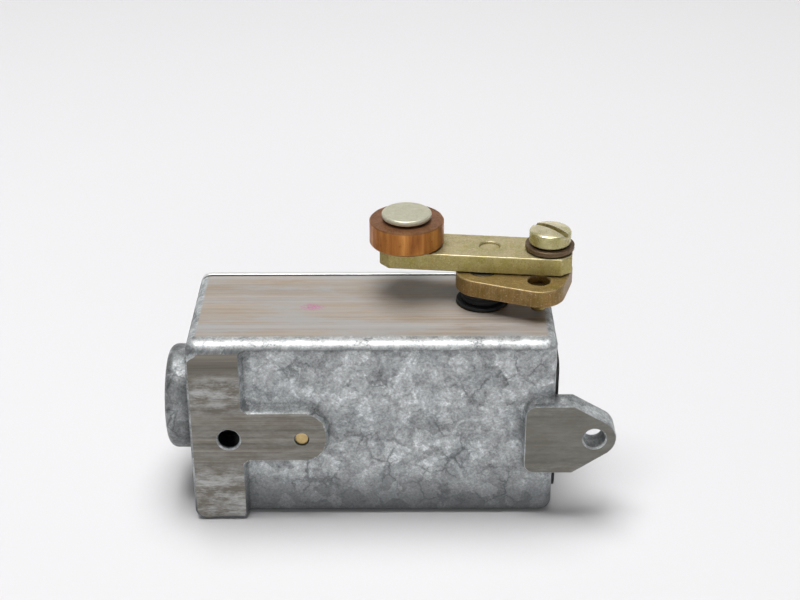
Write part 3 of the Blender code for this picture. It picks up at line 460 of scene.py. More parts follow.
def place(tree, kind, inputs=None, **settings):
    """Add a node. An input takes a Value, a colour's code or a plain value."""
    node = tree.nodes.new(kind)
    for key, value in settings.items():
        setattr(node, key, value)
    for key, value in (inputs or {}).items():
        if isinstance(value, Value):
            tree.links.new(value.socket, node.inputs[key])
        else:
            node.inputs[key].default_value = tone(value) if isinstance(value, str) else value
    return node


def split(vector):
    node = place(vector.tree, "ShaderNodeSeparateXYZ", {0: vector})
    return [output(node, axis) for axis in (X, Y, Z)]


def vectors(operation, first, second=None, result=0):
    inputs = {0: first}
    if second is not None:
        inputs["Scale" if operation == "SCALE" else 1] = second
    return output(place(first.tree, "ShaderNodeVectorMath", inputs, operation=operation), result)


def painted(base, colour, mask, blend="MIX"):
    """A colour over another, where a mask says."""
    tree = next(value.tree for value in (mask, base, colour) if isinstance(value, Value))
    inputs = {0: mask, 6: base, 7: colour}
    return output(place(tree, "ShaderNodeMix", inputs, data_type="RGBA", blend_type=blend), 2)


def between(mask, first, second):
    """The first number where a mask is 0, and the second where it is 1."""
    return output(place(mask.tree, "ShaderNodeMix", {0: mask, 2: first, 3: second}))


def shades(value, *stops):
    """A colour that runs through several shades as a value rises. A stop is (place, colour)."""
    node = place(value.tree, "ShaderNodeValToRGB", {0: value})
    ramp = node.color_ramp
    while len(ramp.elements) < len(stops):
        ramp.elements.new(0.5)
    for element, (position, colour) in zip(ramp.elements, stops):
        element.position = position
        element.color = tone(colour)
    return output(node)


def cloud(where, scale, detail=3.0, rough=0.55, distortion=0.0, result=0):
    """Cloudy noise between 0 and 1."""
    inputs = {"Vector": where, "Scale": scale, "Detail": detail}
    inputs |= {"Roughness": rough, "Distortion": distortion}
    return output(place(where.tree, "ShaderNodeTexNoise", inputs), result)


def stretched(where, scale):
    """Coordinates scaled by a different amount along each axis."""
    return output(place(where.tree, "ShaderNodeMapping", {"Vector": where, "Scale": scale}))


def openness(distance, inside=False):
    """How little stands close by: in front of the surface, or behind it when looking inside."""
    inputs = {"Distance": distance}
    kind = "ShaderNodeAmbientOcclusion"
    return output(place(distance.tree, kind, inputs, samples=6, inside=inside, only_local=True), "AO")


def new_group(name, inputs, *outputs):
    """A shader node group with its sockets. Returns it, its given values and its last node."""
    group = bpy.data.node_groups.new(name, "ShaderNodeTree")
    for label, value in inputs.items():
        kind = FLOAT if isinstance(value, float) else VECTOR
        socket = group.interface.new_socket(label, in_out="INPUT", socket_type=kind)
        if value is not None:
            socket.default_value = value
    for label in outputs:
        group.interface.new_socket(label, in_out="OUTPUT", socket_type=FLOAT)
    start = group.nodes.new("NodeGroupInput")
    given = {label: output(start, label) for label in inputs}
    return group, given, group.nodes.new("NodeGroupOutput")


def put_out(result, **values):
    for label, value in values.items():
        value.tree.links.new(value.socket, result.inputs[label])


def worn_edge_group():
    """1 along outer edges, broken up by noise, where metal is worn bright."""
    inputs = {"Vector": None, "Width": 0.0004, "Breaks": 1500.0, "Amount": 1.0}
    group, given, result = new_group("worn edge", inputs, "Mask")
    edge = openness(given["Width"], inside=True).levels(0.97, 0.62)
    broken = cloud(given["Vector"], given["Breaks"], 3.0, 0.7).levels(0.38, 0.62, 0.15, 1.0)
    put_out(result, Mask=(edge * broken).maths("MULTIPLY", given["Amount"], clamp=True))
    return group


def crevice_shade_group():
    """1 in inner corners and recesses, where little light reaches: the mask for painted shade."""
    inputs = {"Vector": None, "Reach": 0.002, "Breaks": 700.0, "Amount": 1.0}
    group, given, result = new_group("grime", inputs, "Mask")
    corner = openness(given["Reach"]).levels(0.92, 0.45)
    uneven = cloud(given["Vector"], given["Breaks"], 4.0, 0.6).levels(0.25, 0.6, 0.5, 1.0)
    put_out(result, Mask=(corner * uneven).maths("MULTIPLY", given["Amount"], clamp=True))
    return group


def streak_group():
    """Fine parallel marks left by a cutter: long along the grain and thin across it."""
    inputs = {"Vector": None, "Grain": (30.0, 3000.0, 3000.0)}
    group, given, result = new_group("cutter marks", inputs, "Fine", "Broad")
    scaled = vectors("MULTIPLY", given["Vector"], given["Grain"])
    wide = vectors("SCALE", scaled, 0.22)
    put_out(result, Fine=cloud(scaled, 1.0, 3.0, 0.65), Broad=cloud(wide, 1.0, 3.0, 0.6))
    return group


def mottle_group():
    """Cloudy patches and flecks, and the two in one value."""
    inputs = {"Vector": None, "Patch": 250.0, "Fleck": 1400.0}
    group, given, result = new_group("mottle", inputs, "Value", "Patches", "Flecks")
    patches = cloud(given["Vector"], given["Patch"], 9.0, 0.74, 0.5)
    flecks = cloud(given["Vector"], given["Fleck"], 4.0, 0.75, 0.2)
    put_out(result, Value=patches * 0.62 + flecks * 0.38, Patches=patches, Flecks=flecks)
    return group


WORN_EDGE = worn_edge_group()
CREVICE_SHADE = crevice_shade_group()
STREAKS = streak_group()
MOTTLE = mottle_group()


def use(group, where, **inputs):
    """Put a shared effect in a finish. Returns its outputs by name."""
    inputs["Vector"] = where
    node = place(where.tree, "ShaderNodeGroup", inputs, node_tree=group)
    return {socket.name: Value(socket) for socket in node.outputs}


class Finish:
    """A material, its shader, and the place and the direction of each point of the surface."""

    def __init__(self, name, metallic=0.0):
        self.look = bpy.data.materials.new(name)
        self.look.use_nodes = True
        self.tree = self.look.node_tree
        self.shader = self.tree.nodes["Principled BSDF"]
        self.shader.inputs["Metallic"].default_value = metallic
        coordinates = self.tree.nodes.new("ShaderNodeTexCoord")
        self.where = output(coordinates, "Object")
        self.at = split(self.where)
        self.facing = split(output(coordinates, "Normal"))

    def feed(self, **values):
        for label, value in values.items():
            self.tree.links.new(value.socket, self.shader.inputs[label.replace("_", " ")])

    def done(self, colour, roughness, height=None, depth=0.00002, strength=0.5):
        """Feed the shader its colour and roughness, and a bump from a height."""
        self.feed(Base_Color=colour, Roughness=roughness)
        if height is not None:
            inputs = {"Height": height, "Distance": depth, "Strength": strength}
            self.feed(Normal=output(place(self.tree, "ShaderNodeBump", inputs)))
        return self.look


# ---------------------------------------------------------------- the finishes
def cast_skin(finish, mottle, crystal, bent):
    """The skin as cast: spangled and cracked, darker low down, with painted shade in its hollows and a
    painted highlight on its upper edge.

    Returns its colour, its roughness and where its edges are worn.
    """
    where, at, facing = finish.where, finish.at, finish.facing
    value = mottle["Value"] + crystal * 0.12
    skin = shades(
        value.levels(0.39, 0.71),
        (0.0, "6f7273"), (0.3, "96999a"), (0.55, "adb0b1"), (0.78, "c8cccd"), (1.0, "eceff0"),
    )  # fmt: skip
    skin = painted(skin, "a9bcc4", cloud(where, 150.0, 2.0).levels(0.5, 0.66, 0.0, 0.14), "MULTIPLY")
    # Darker towards the bottom, with a ragged edge.
    low_ground = at[Z] - mottle["Patches"] * 0.014
    skin = painted(skin, "505254", low_ground.levels(0.0085, -0.006, 0.0, 0.80, smooth=True))
    # Painted shade: darker in the corners and recesses, where little light reaches.
    corner_shade = use(CREVICE_SHADE, where, Reach=0.0030, Breaks=600.0, Amount=1.0)
    skin = painted(skin, "37393a", corner_shade["Mask"])
    # Painted shade: the fixing hole black inside.
    skin = painted(skin, "050505", hole_shade_mask(at))
    cells = {"Vector": bent, "Scale": 170.0}
    cracks = output(place(finish.tree, "ShaderNodeTexVoronoi", cells, feature="DISTANCE_TO_EDGE"))
    some = cloud(where, 90.0, 2.0).levels(0.50, 0.60)
    skin = painted(skin, "54585a", cracks.levels(0.055, 0.012) * some * 0.6)

    # Painted shade: a dark band just below the top edge, for the shade under the lip.
    lip_shade = at[Z].levels(CASE_HEIGHT - 0.0034, CASE_HEIGHT - 0.0024)
    lip_shade *= at[Z].levels(CASE_HEIGHT - 0.0010, CASE_HEIGHT - 0.0019)
    skin = painted(skin, "4c4f50", lip_shade * 0.62)
    # Painted highlight on the upper front rounding, where it faces the lamp above, joined with the
    # worn edges.
    brow = facing[Z] * 0.88 - facing[Y] * 0.47
    patchy = (mottle["Flecks"] + mottle["Patches"] * 0.6).levels(0.62, 0.92)
    highlight_and_wear = brow.levels(0.84, 0.96, smooth=True) * patchy.levels(0.0, 1.0, 0.0, 0.75)
    highlight_and_wear *= at[Z].levels(CASE_HEIGHT - 0.006, CASE_HEIGHT - 0.003, 0.12, 1.0)
    edges = use(WORN_EDGE, where, Width=0.0006, Breaks=900.0, Amount=0.14)["Mask"]
    highlight_and_wear = highlight_and_wear.maths("MAXIMUM", edges)
    skin = painted(skin, "cccccb", highlight_and_wear)
    end_shade = at[X].levels(LEFT + 0.0008, LEFT - 0.0004, 0.0, 0.62)
    skin = painted(skin, painted(skin, "8b8b8b", 1.0, "MULTIPLY"), end_shade)
    return skin, value.levels(0.4, 0.8, 0.60, 0.44) - highlight_and_wear * 0.10, edges


def machined_pads(finish, marks, edges):
    """The bolting faces: brown-grey and finely lined, scuffed pale away from the tongue."""
    where, at = finish.where, finish.at
    pads = shades(
        (marks["Broad"] * 0.6 + marks["Fine"] * 0.4).levels(0.30, 0.72),
        (0.0, "58544c"), (0.45, "6f6a61"), (0.75, "7c776d"), (1.0, "989489"),
    )  # fmt: skip
    off_centre = (at[Z] - FIXING_Z).maths("ABSOLUTE")
    scuffed = off_centre.levels(0.006, 0.012, 0.25, 1.0)
    scuffed *= at[Z].levels(CASE_HEIGHT - 0.007, CASE_HEIGHT - 0.011)
    scuffs = cloud(stretched(where, (130.0, 130.0, 420.0)), 1.0, 6.0, 0.75).levels(0.43, 0.62)
    pads = painted(pads, "bdbfbe", scuffs * scuffed * 0.8)
    ear = at[X].levels(RIGHT - 0.0135, RIGHT - 0.0095, 0.0, 0.75)
    pads = painted(pads, painted(pads, "66675f", 0.6), ear)
    return painted(pads, "c4c3bf", edges * 0.5)


def milled_top(finish, marks, mottle):
    """The flat top: warm grey with long cutter marks, dull drifts and a dab of checker's ink."""
    top = shades(
        marks["Broad"].levels(0.30, 0.70),
        (0.0, "a39d97"), (0.3, "aba298"), (0.5, "b3a698"), (0.7, "aea6a0"), (1.0, "b8b3af"),
    )  # fmt: skip
    thin = shades(marks["Fine"].levels(0.3, 0.7), (0.0, "6e6b68"), (1.0, "c9c7c4"))
    top = painted(top, thin, 0.6, "SOFT_LIGHT")
    drifts = cloud(stretched(finish.where, (36.0, 150.0, 36.0)), 1.0, 7.0, 0.72)
    top = painted(top, "a9abac", drifts.levels(0.48, 0.62, 0.0, 0.75))
    top = painted(top, "a08c74", drifts.levels(0.46, 0.34, 0.0, 0.6))
    return painted(top, "c2569c", ink_mask(finish.at, mottle["Flecks"]))


def cast_aluminium():
    """The casting: its skin as cast, its machined pads and its milled top."""
    finish = Finish("cast aluminium")
    where, at, facing = finish.where, finish.at, finish.facing
    mottle = use(MOTTLE, where, Patch=400.0, Fleck=1900.0)
    bend = cloud(where, 420.0, 8.0, 0.72, result=1)
    bent = vectors("ADD", where, vectors("SCALE", bend, 0.0034))
    crystals = place(finish.tree, "ShaderNodeTexVoronoi", {"Vector": bent, "Scale": 260.0})
    crystal = split(output(crystals, "Color"))[0]
    pad_marks = use(STREAKS, where, Grain=(38.0, 38.0, 3600.0))
    top_marks = use(STREAKS, where, Grain=(12.0, 1500.0, 40.0))

    skin, skin_rough, edges = cast_skin(finish, mottle, crystal, bent)
    pads = machined_pads(finish, pad_marks, edges)
    top = milled_top(finish, top_marks, mottle)

    on_pad = at[Y].levels(FRONT + 0.00006, FRONT + 0.00003) * facing[Y].levels(-0.985, -0.995)
    ragged = (mottle["Flecks"] - 0.5) * 0.03
    on_top = (facing[Z] + ragged).levels(0.955, 0.992)
    on_top *= at[Z].levels(CASE_HEIGHT - 0.0006, CASE_HEIGHT - 0.0002)
    behind_edge = at[Y] - mottle["Flecks"] * 0.0016
    on_top *= behind_edge.levels(FRONT + CASE_ROUND - 0.0002, FRONT + CASE_ROUND + 0.0004)
    machined = on_pad.maths("MAXIMUM", on_top)

    colour = painted(painted(skin, top, on_top), pads, on_pad)
    fine = between(on_pad, top_marks["Fine"], pad_marks["Fine"])
    height = between(machined, mottle["Value"] + crystal * 0.08, fine * 0.35)
    rough = between(machined, skin_rough, fine.levels(0.3, 0.7, 0.34, 0.5))
    finish.feed(Metallic=machined.levels(0.0, 1.0, 0.62, 0.3))
    return finish.done(colour, rough, height, depth=0.00022, strength=0.55)


def hole_shade_mask(at):
    """1 inside the fixing hole, which is painted black as the shade deep inside it."""
    across, up = at[X] - FIXING_X, at[Z] - FIXING_Z
    away = (across * across + up * up).maths("SQRT")
    within = away.levels(FIXING_HOLE_RADIUS + 0.0003, FIXING_HOLE_RADIUS + 0.0001)
    return within * at[Y].levels(FRONT + 0.0005, FRONT + 0.0012)


def ink_mask(at, flecks):
    """A small faded dab of checker's ink."""
    across, along = (at[X] - INK_X) / INK_WIDTH, (at[Y] - INK_Y) / INK_LENGTH
    near = (across * across + along * along).levels(1.3, 0.1)
    return near * flecks.levels(0.44, 0.58, 0.0, 0.85)


def plated_steel(name, top, side, shadow, worn, roughness=0.42):
    """Yellow passivated zinc: cloudy, painted paler on top and darker on its sides as light falls from
    above, with painted shade in its corners, worn white along its edges.
    """
    finish = Finish(name, 0.55)
    where, facing = finish.where, finish.facing
    mottle = use(MOTTLE, where, Patch=330.0, Fleck=2600.0)
    rolled = use(STREAKS, where, Grain=(1700.0, 1700.0, 160.0))["Fine"]
    # Painted light: the top colour on faces that look up, the side colour on upright faces.
    base = painted(side, top, facing[Z].levels(0.3, 0.9))
    base = painted(base, shadow, mottle["Value"].levels(0.62, 0.38, 0.0, 0.7))
    green = cloud(where, 260.0, 2.0).levels(0.5, 0.68, 0.0, 0.5)
    base = painted(base, "8d9a55", green, "SOFT_LIGHT")
    red = cloud(where, 410.0, 2.0, 0.5, 0.6).levels(0.6, 0.75, 0.0, 0.35)
    base = painted(base, "b07a4a", red, "SOFT_LIGHT")
    upright = facing[Z].maths("ABSOLUTE").levels(0.0, 1.0, 1.0, 0.0)
    base = painted(base, "cfc48f", rolled.levels(0.45, 0.75, 0.0, 0.16) * upright)
    base = painted(base, "5a4c2a", mottle["Flecks"].levels(0.40, 0.33, 0.0, 0.6))
    base = painted(base, worn, mottle["Flecks"].levels(0.60, 0.68, 0.0, 0.55))
    # Painted shade in the corners and recesses.
    corner_shade = use(CREVICE_SHADE, where, Reach=0.001, Breaks=1200.0, Amount=0.3)
    base = painted(base, "4b432a", corner_shade["Mask"])
    edges = use(WORN_EDGE, where, Width=0.00038, Breaks=1700.0, Amount=0.8)
    base = painted(base, worn, edges["Mask"])
    rough = mottle["Value"].levels(0.35, 0.65, roughness + 0.08, roughness - 0.08)
    height = mottle["Value"] + rolled * upright * 0.25
    return finish.done(base, rough, height, depth=0.00008, strength=0.4)


def roller_bronze():
    """Bearing bronze: brown, with marks up and down its rim and a bright line on its edges."""
    finish = Finish("roller bronze", 0.7)
    where, facing = finish.where, finish.facing
    mottle = use(MOTTLE, where, Patch=420.0, Fleck=2500.0)
    marks = use(STREAKS, where, Grain=(1300.0, 1300.0, 150.0))
    rim = shades(
        marks["Broad"].levels(0.32, 0.68),
        (0.0, "6a3d1c"), (0.4, "a5682f"), (0.7, "bf8342"), (1.0, "d79a58"),
    )  # fmt: skip
    face = shades(
        mottle["Value"].levels(0.36, 0.66), (0.0, "6e4a30"), (0.5, "8c6142"), (1.0, "a87a55")
    )
    base = painted(rim, face, facing[Z].maths("ABSOLUTE").levels(0.35, 0.75))
    base = painted(base, "3b2413", mottle["Value"].levels(0.45, 0.34, 0.0, 0.7))
    edges = use(WORN_EDGE, where, Width=0.0004, Breaks=1500.0, Amount=0.45)
    base = painted(base, "d8a978", edges["Mask"])
    rough = mottle["Value"].levels(0.35, 0.65, 0.46, 0.30)
    height = mottle["Value"] + marks["Fine"] * 0.5
    return finish.done(base, rough, height, depth=0.00006, strength=0.4)


def plain_finish(name, light, dark, metallic, roughness, scale=600.0, worn=None):
    """A finish with cloudy colour, uneven gloss, painted shade in its corners and, on metal, worn
    edges.
    """
    finish = Finish(name, metallic)
    where = finish.where
    value = use(MOTTLE, where, Patch=scale, Fleck=scale * 5)["Value"]
    base = shades(value.levels(0.34, 0.68), (0.0, dark), (1.0, light))
    # Painted shade in the corners and recesses.
    corner_shade = use(CREVICE_SHADE, where, Reach=0.0008, Breaks=scale * 2, Amount=0.5)
    base = painted(base, "15130f", corner_shade["Mask"])
    if worn:
        edges = use(WORN_EDGE, where, Width=0.0003, Breaks=scale * 3, Amount=0.7)
        base = painted(base, worn, edges["Mask"])
    rough = value.levels(0.35, 0.65, roughness + 0.07, roughness - 0.07)
    return finish.done(base, rough, value, depth=0.00005, strength=0.4)


def pressed_cover():
    """The cover's skin: the casting's grey, more even, with light scuffs, painted shade in its corners
    and a painted highlight on its top edge joined with its worn edges.
    """
    finish = Finish("cover aluminium", 0.85)
    where = finish.where
    value = use(MOTTLE, where, Patch=200.0, Fleck=1600.0)["Value"]
    base = shades(value.levels(0.36, 0.68), (0.0, "85898c"), (0.5, "a3a7a9"), (1.0, "c6cacb"))
    scuffs = use(STREAKS, where, Grain=(60.0, 60.0, 1900.0))["Fine"].levels(0.62, 0.74, 0.0, 0.5)
    base = painted(base, "dcdedd", scuffs)
    # Painted shade in the corners and recesses.
    corner_shade = use(CREVICE_SHADE, where, Reach=0.0016, Breaks=600.0, Amount=0.7)
    base = painted(base, "474a4b", corner_shade["Mask"])
    edges = use(WORN_EDGE, where, Width=0.0006, Breaks=1000.0, Amount=0.8)
    # Painted highlight on the faces that look up, joined with the worn edges.
    bright = edges["Mask"].maths("MAXIMUM", finish.facing[Z].levels(0.2, 0.6, 0.0, 0.9))
    base = painted(base, "f2f2f0", bright)
    rough = value.levels(0.4, 0.65, 0.52, 0.40)
    return finish.done(base, rough, value, depth=0.00012, strength=0.45)


# ---------------------------------------------------------------- the casting
def ear_outline():
    pad = RIGHT - EAR_PAD_INSET
    bottom, top = FIXING_Z - EAR_DROP, FIXING_Z + EAR_RISE
    quarter = math.pi / 2
    nose = circle((EAR_HOLE_X, FIXING_Z), EAR_NOSE_RADIUS)
    shoulder = [(RIGHT + EAR_SHOULDER, bottom), (RIGHT + EAR_SHOULDER, top)]
    back = arc((pad + EAR_CORNER, top - EAR_CORNER), EAR_CORNER, quarter, 2 * quarter)
    back += arc((pad + EAR_CORNER, bottom + EAR_CORNER), EAR_CORNER, 2 * quarter, 3 * quarter)
    return hull(nose + shoulder + back)


def outside(x, z, x0, x1, z0, z1, radius):
    """Distance outside a rectangle with round corners, below zero inside it."""
    over_x = np.abs(x - (x0 + x1) / 2) - (x1 - x0) / 2 + radius
    over_z = np.abs(z - (z0 + z1) / 2) - (z1 - z0) / 2 + radius
    beyond = np.hypot(np.maximum(over_x, 0), np.maximum(over_z, 0))
    return beyond + np.minimum(np.maximum(over_x, over_z), 0) - radius


def merged(a, b, radius):
    """The nearer of two distances, with a round where they meet."""
    blend = np.maximum(radius - np.abs(a - b), 0) / radius
    return np.minimum(a, b) - blend**2 * radius / 4


def smooth_step(value, start, end):
    t = np.clip((value - start) / (end - start), 0, 1)
    return t * t * (3 - 2 * t)


def pad_distance(x, z):
    """How far a point lies outside the lip, the bar and the tongue."""
    far = 0.05
    lip = CASE_HEIGHT - LIP_HEIGHT - z
    bar = outside(x, z, LEFT - far, LEFT + BAR_WIDTH, 0.0002, CASE_HEIGHT + far, BAR_FOOT_CORNER)
    tongue = outside(
        x, z, LEFT - far, UNIT_SCREW_X + TONGUE_END,
        FIXING_Z - TONGUE_DROP, FIXING_Z + TONGUE_RISE, TONGUE_CORNER,
    )  # fmt: skip
    return merged(merged(bar, tongue, INNER_CORNER), lip, INNER_CORNER)


def draft(distance, run):
    """How far down a pad's side has come, 0 at its top and 1 at its foot."""
    t = np.clip(distance / run, 0, 1)
    return np.where(t < 0.5, 1.5 * t**1.15, 1 - (1 - t) ** 2 * 1.3)


def flow_line(x, z, points):
    """1 on a thin line through some points, falling to 0 beside it."""
    nearest = np.full(x.shape, 1.0)
    for (ax, az), (bx, bz) in zip(points, points[1:]):
        run_x, run_z = bx - ax, bz - az
        t = np.clip(((x - ax) * run_x + (z - az) * run_z) / (run_x**2 + run_z**2), 0, 1)
        nearest = np.minimum(nearest, np.hypot(x - ax - t * run_x, z - az - t * run_z))
    return np.exp(-((nearest / FLOW_LINE_WIDTH) ** 2))


def front_depth(x, z):
    """How far the bolting side lies behind the pads' plane, all over."""
    inward = -outside(x, z, LEFT, RIGHT, 0.0, CASE_HEIGHT, CASE_ROUND)
    above = smooth_step(z, CASE_HEIGHT - 0.0048, CASE_HEIGHT - 0.0026)
    on_left = smooth_step(x, LEFT + 0.006, LEFT + 0.003)
    on_right = smooth_step(x, RIGHT - 0.006, RIGHT - 0.003)

    bar_round = BAR_ROUND * on_left + BAR_FOOT_ROUND * (1 - on_left)
    raised_round = CASE_ROUND * above + (1 - above) * bar_round
    raised = rounding(inward, np.maximum(raised_round, CASE_ROUND * on_right))
    sunk = PAD_HEIGHT + rounding(inward, SUNK_ROUND)

    side = draft(pad_distance(x, z), DRAFT_RUN)
    ear = outside(
        x, z, RIGHT - EAR_PAD_INSET, RIGHT + 0.02,
        FIXING_Z - EAR_DROP, FIXING_Z + EAR_RISE, EAR_CORNER,
    )  # fmt: skip
    ear_side = draft(ear + 0.0003, DRAFT_RUN)
    depth = raised * (1 - side) + np.maximum(sunk, raised) * side
    mound = MOUND_SINK + rounding(inward, CASE_ROUND * on_right)
    depth = depth * ear_side + np.minimum(depth, mound) * (1 - ear_side)

    places = zip(x.flat, z.flat)
    wave = np.array([noise.noise(Vector((a * WAVE_SCALE, 3.7, b * WAVE_SCALE))) for a, b in places])
    cast = np.clip(side * ear_side, 0, 1)
    depth = depth + cast * WAVINESS * wave.reshape(x.shape)
    lines = flow_line(x, z, UPPER_FLOW_LINE) + flow_line(x, z, LOWER_FLOW_LINE)
    return depth + cast * FLOW_LINE_DEPTH * lines


def rounding(inward, radius):
    """How far a rounded rim has dropped, from how far inside the outline a point lies."""
    t = np.clip(radius - inward, 0, radius)
    return radius - np.sqrt(np.maximum(radius**2 - t**2, 0))


def grid_lines(start, end, *zones):
    """Places along one side of the grid, closer together inside the zones."""
    lines = [start]
    while lines[-1] < end:
        at = lines[-1]
        close = any(a - COARSE_STEP / 2 <= at <= b for a, b in zones)
        lines.append(at + (FINE_STEP if close else COARSE_STEP))
    return np.array(lines)


def front_slab():
    """A block whose front is the whole relief of the bolting side, to trim the casting with."""
    xs = grid_lines(
        BOSS_END - 0.002, RIGHT + 0.003,
        (LEFT - 0.0004, LEFT + 0.0016), (LEFT + BAR_WIDTH - 0.001, LEFT + BAR_WIDTH + 0.0024),
        (UNIT_SCREW_X - 0.001, UNIT_SCREW_X + TONGUE_END + 0.0016),
        (RIGHT - EAR_PAD_INSET - 0.0014, RIGHT - EAR_PAD_INSET + 0.001),
        (RIGHT - 0.0032, RIGHT + 0.0004),
    )  # fmt: skip
    zs = grid_lines(
        -0.002, CASE_HEIGHT + 0.002,
        (-0.0004, 0.0034), (FIXING_Z - EAR_DROP - 0.0014, FIXING_Z - EAR_DROP + 0.001),
        (FIXING_Z - TONGUE_DROP - 0.0014, FIXING_Z + EAR_RISE + 0.0014),
        (CASE_HEIGHT - 0.0062, CASE_HEIGHT + 0.0004),
    )  # fmt: skip
    grid_x, grid_z = np.meshgrid(xs, zs, indexing="ij")
    depth = np.minimum(front_depth(grid_x, grid_z), PAD_HEIGHT + CASE_ROUND)
    depth[grid_x < LEFT - 0.0001] = CASE_ROUND
    work = bmesh.new()
    rows = [
        [work.verts.new((a, FRONT + d, b)) for a, d, b in zip(*row)]
        for row in zip(grid_x, depth, grid_z)
    ]
    for i in range(len(xs) - 1):
        for j in range(len(zs) - 1):
            work.faces.new((rows[i][j], rows[i + 1][j], rows[i + 1][j + 1], rows[i][j + 1]))
    rim = [row[0] for row in rows] + rows[-1][1:]
    rim += [row[-1] for row in rows[-2::-1]] + rows[0][-2:0:-1]
    back = [work.verts.new((v.co.x, REAR + MARGIN, v.co.z)) for v in rim]
    for i in range(len(rim)):
        j = (i + 1) % len(rim)
        work.faces.new((rim[i], back[i], back[j], rim[j]))
    work.faces.new(back)
    bmesh.ops.recalc_face_normals(work, faces=work.faces)
    return work


def skinned(work, rows):
    """Faces between rows of vertices that go round, with the two ends closed."""
    for a, b in zip(rows, rows[1:]):
        for i in range(len(a)):
            j = (i + 1) % len(a)
            work.faces.new((a[i], a[j], b[j], b[i]))
    work.faces.new(rows[0])
    work.faces.new(rows[-1])


def threaded_bore(radius, depth, pitch, start, end, steps=72, per_turn=8):
    """A cutter with a screw thread, drawn along Z."""
    work = bmesh.new()
    count = int((end - start) / pitch * per_turn)
    rows = []
    for k in range(count + 1):
        at = start + (end - start) * k / count
        row = []
        for i in range(steps):
            turn = i / steps
            wave = 1 - abs(2 * ((at / pitch - turn) % 1) - 1)
            r = radius + depth * min(1, max(0, 1.4 * wave - 0.2))
            angle = 2 * math.pi * turn
            row.append(work.verts.new((r * math.cos(angle), r * math.sin(angle), at)))
        rows.append(row)
    skinned(work, rows)
    bmesh.ops.recalc_face_normals(work, faces=work.faces)
    return work


def cavity_outline():
    """The inside of the case, stepped in round the four pillars."""
    x0, x1 = LEFT + END_WALL, RIGHT - END_WALL
    z0, z1 = FLOOR_WALL, CASE_HEIGHT - TOP_WALL
    p = PILLAR
    return [
        (x0 + p, z0), (x1 - p, z0), (x1 - p, z0 + p), (x1, z0 + p),
        (x1, z1 - p), (x1 - p, z1 - p), (x1 - p, z1), (x0 + p, z1),
        (x0 + p, z1 - p), (x0, z1 - p), (x0, z0 + p), (x0 + p, z0 + p),
    ]  # fmt: skip


def countersunk(radius, x, z):
    """A hole through the front wall with its mouth broken, as a cutter."""
    profile = [(0, -MARGIN), (radius + HOLE_CHAMFER + MARGIN, -MARGIN), (radius, HOLE_CHAMFER)]
    profile += [(radius, FRONT_WALL + MARGIN), (0, FRONT_WALL + MARGIN)]
    return placed(aimed(turned(profile, ROUND), (0, 1, 0)), (x, FRONT, z))


def hole_for(node, radius, start, end, along=Y, steps=ROUND):
    """A straight cutter along one axis, in line with a node."""
    centre = [0 if axis == along else middle(node, axis) for axis in (X, Y, Z)]
    direction = [float(axis == along) for axis in (X, Y, Z)]
    return placed(aimed(rod(radius, start, end, steps), direction), centre)


def make_case(look):
    outline = rounded_rectangle((LEFT, 0), (RIGHT, CASE_HEIGHT), CASE_ROUND, 14)
    case = object_from("case_casting", prism(outline, FRONT - MARGIN, REAR, "Y"))
    boss_length = LEFT - BOSS_END
    boss_rim = (BOSS_RADIUS - BOSS_ROUND, boss_length - BOSS_ROUND)
    profile = [(0, -END_WALL), (BOSS_RADIUS, -END_WALL)]
    profile += arc(boss_rim, BOSS_ROUND, 0, math.pi / 2, 10) + [(0, boss_length)]
    combine(case, placed(aimed(turned(profile), (-1, 0, 0)), BOSS_PLACE), "UNION")
    combine(case, prism(cavity_outline(), FRONT + FRONT_WALL, REAR + MARGIN, "Y"))
    bush_radius = max(high("shaft_bush", X) - SHAFT[X], SHAFT[X] - low("shaft_bush", X)) + FIT
    bush_low = low("shaft_bush", Z)
    bush_boss = rod(bush_radius + BUSH_BOSS_WALL, bush_low, CASE_HEIGHT - TOP_WALL + MARGIN)
    combine(case, placed(bush_boss, SHAFT), "UNION")
    combine(case, placed(rod(bush_radius, bush_low - MARGIN, CASE_HEIGHT + MARGIN), SHAFT))
    thread = (CONDUIT_RADIUS, THREAD_DEPTH, THREAD_PITCH)
    bore = threaded_bore(*thread, -END_WALL - MARGIN, boss_length + MARGIN)
    combine(case, placed(aimed(bore, (-1, 0, 0)), BOSS_PLACE))
    combine(case, front_slab(), "INTERSECT")

    ear = object_from("ear", prism(ear_outline(), FRONT, FRONT + EAR_THICKNESS, "Y"))
    eased(ear, 0.0003, 2)
    work = bmesh.new()
    work.from_mesh(ear.data)
    bpy.data.objects.remove(ear)
    combine(case, work, "UNION")

    inner = FRONT + FRONT_WALL + MARGIN
    shank = min(half_width("contact_base_screw"), BASE_SCREW_RADIUS) + FIT
    holes = [countersunk(FIXING_HOLE_RADIUS, x, FIXING_Z) for x in (FIXING_X, EAR_HOLE_X)]
    holes.append(hole_for("contact_base_screw", shank, FRONT - MARGIN, inner))
    for name in COVER_SCREWS:
        holes.append(hole_for(name, COVER_SCREW_HOLE, low(name, Y) - 0.001, REAR + MARGIN))
    for name in RIVETS:
        holes.append(hole_for(name, RIVET_HOLE, low(name, X) - 0.0003, RIGHT + MARGIN, X, 24))
    earth_foot = low("earth_screw", Y) - 0.0002
    holes.append(hole_for("earth_screw", EARTH_SCREW_HOLE, earth_foot, inner, steps=24))
    combine(case, joined(*holes))
    finished(case, look, "case", "cast_metal", "case")


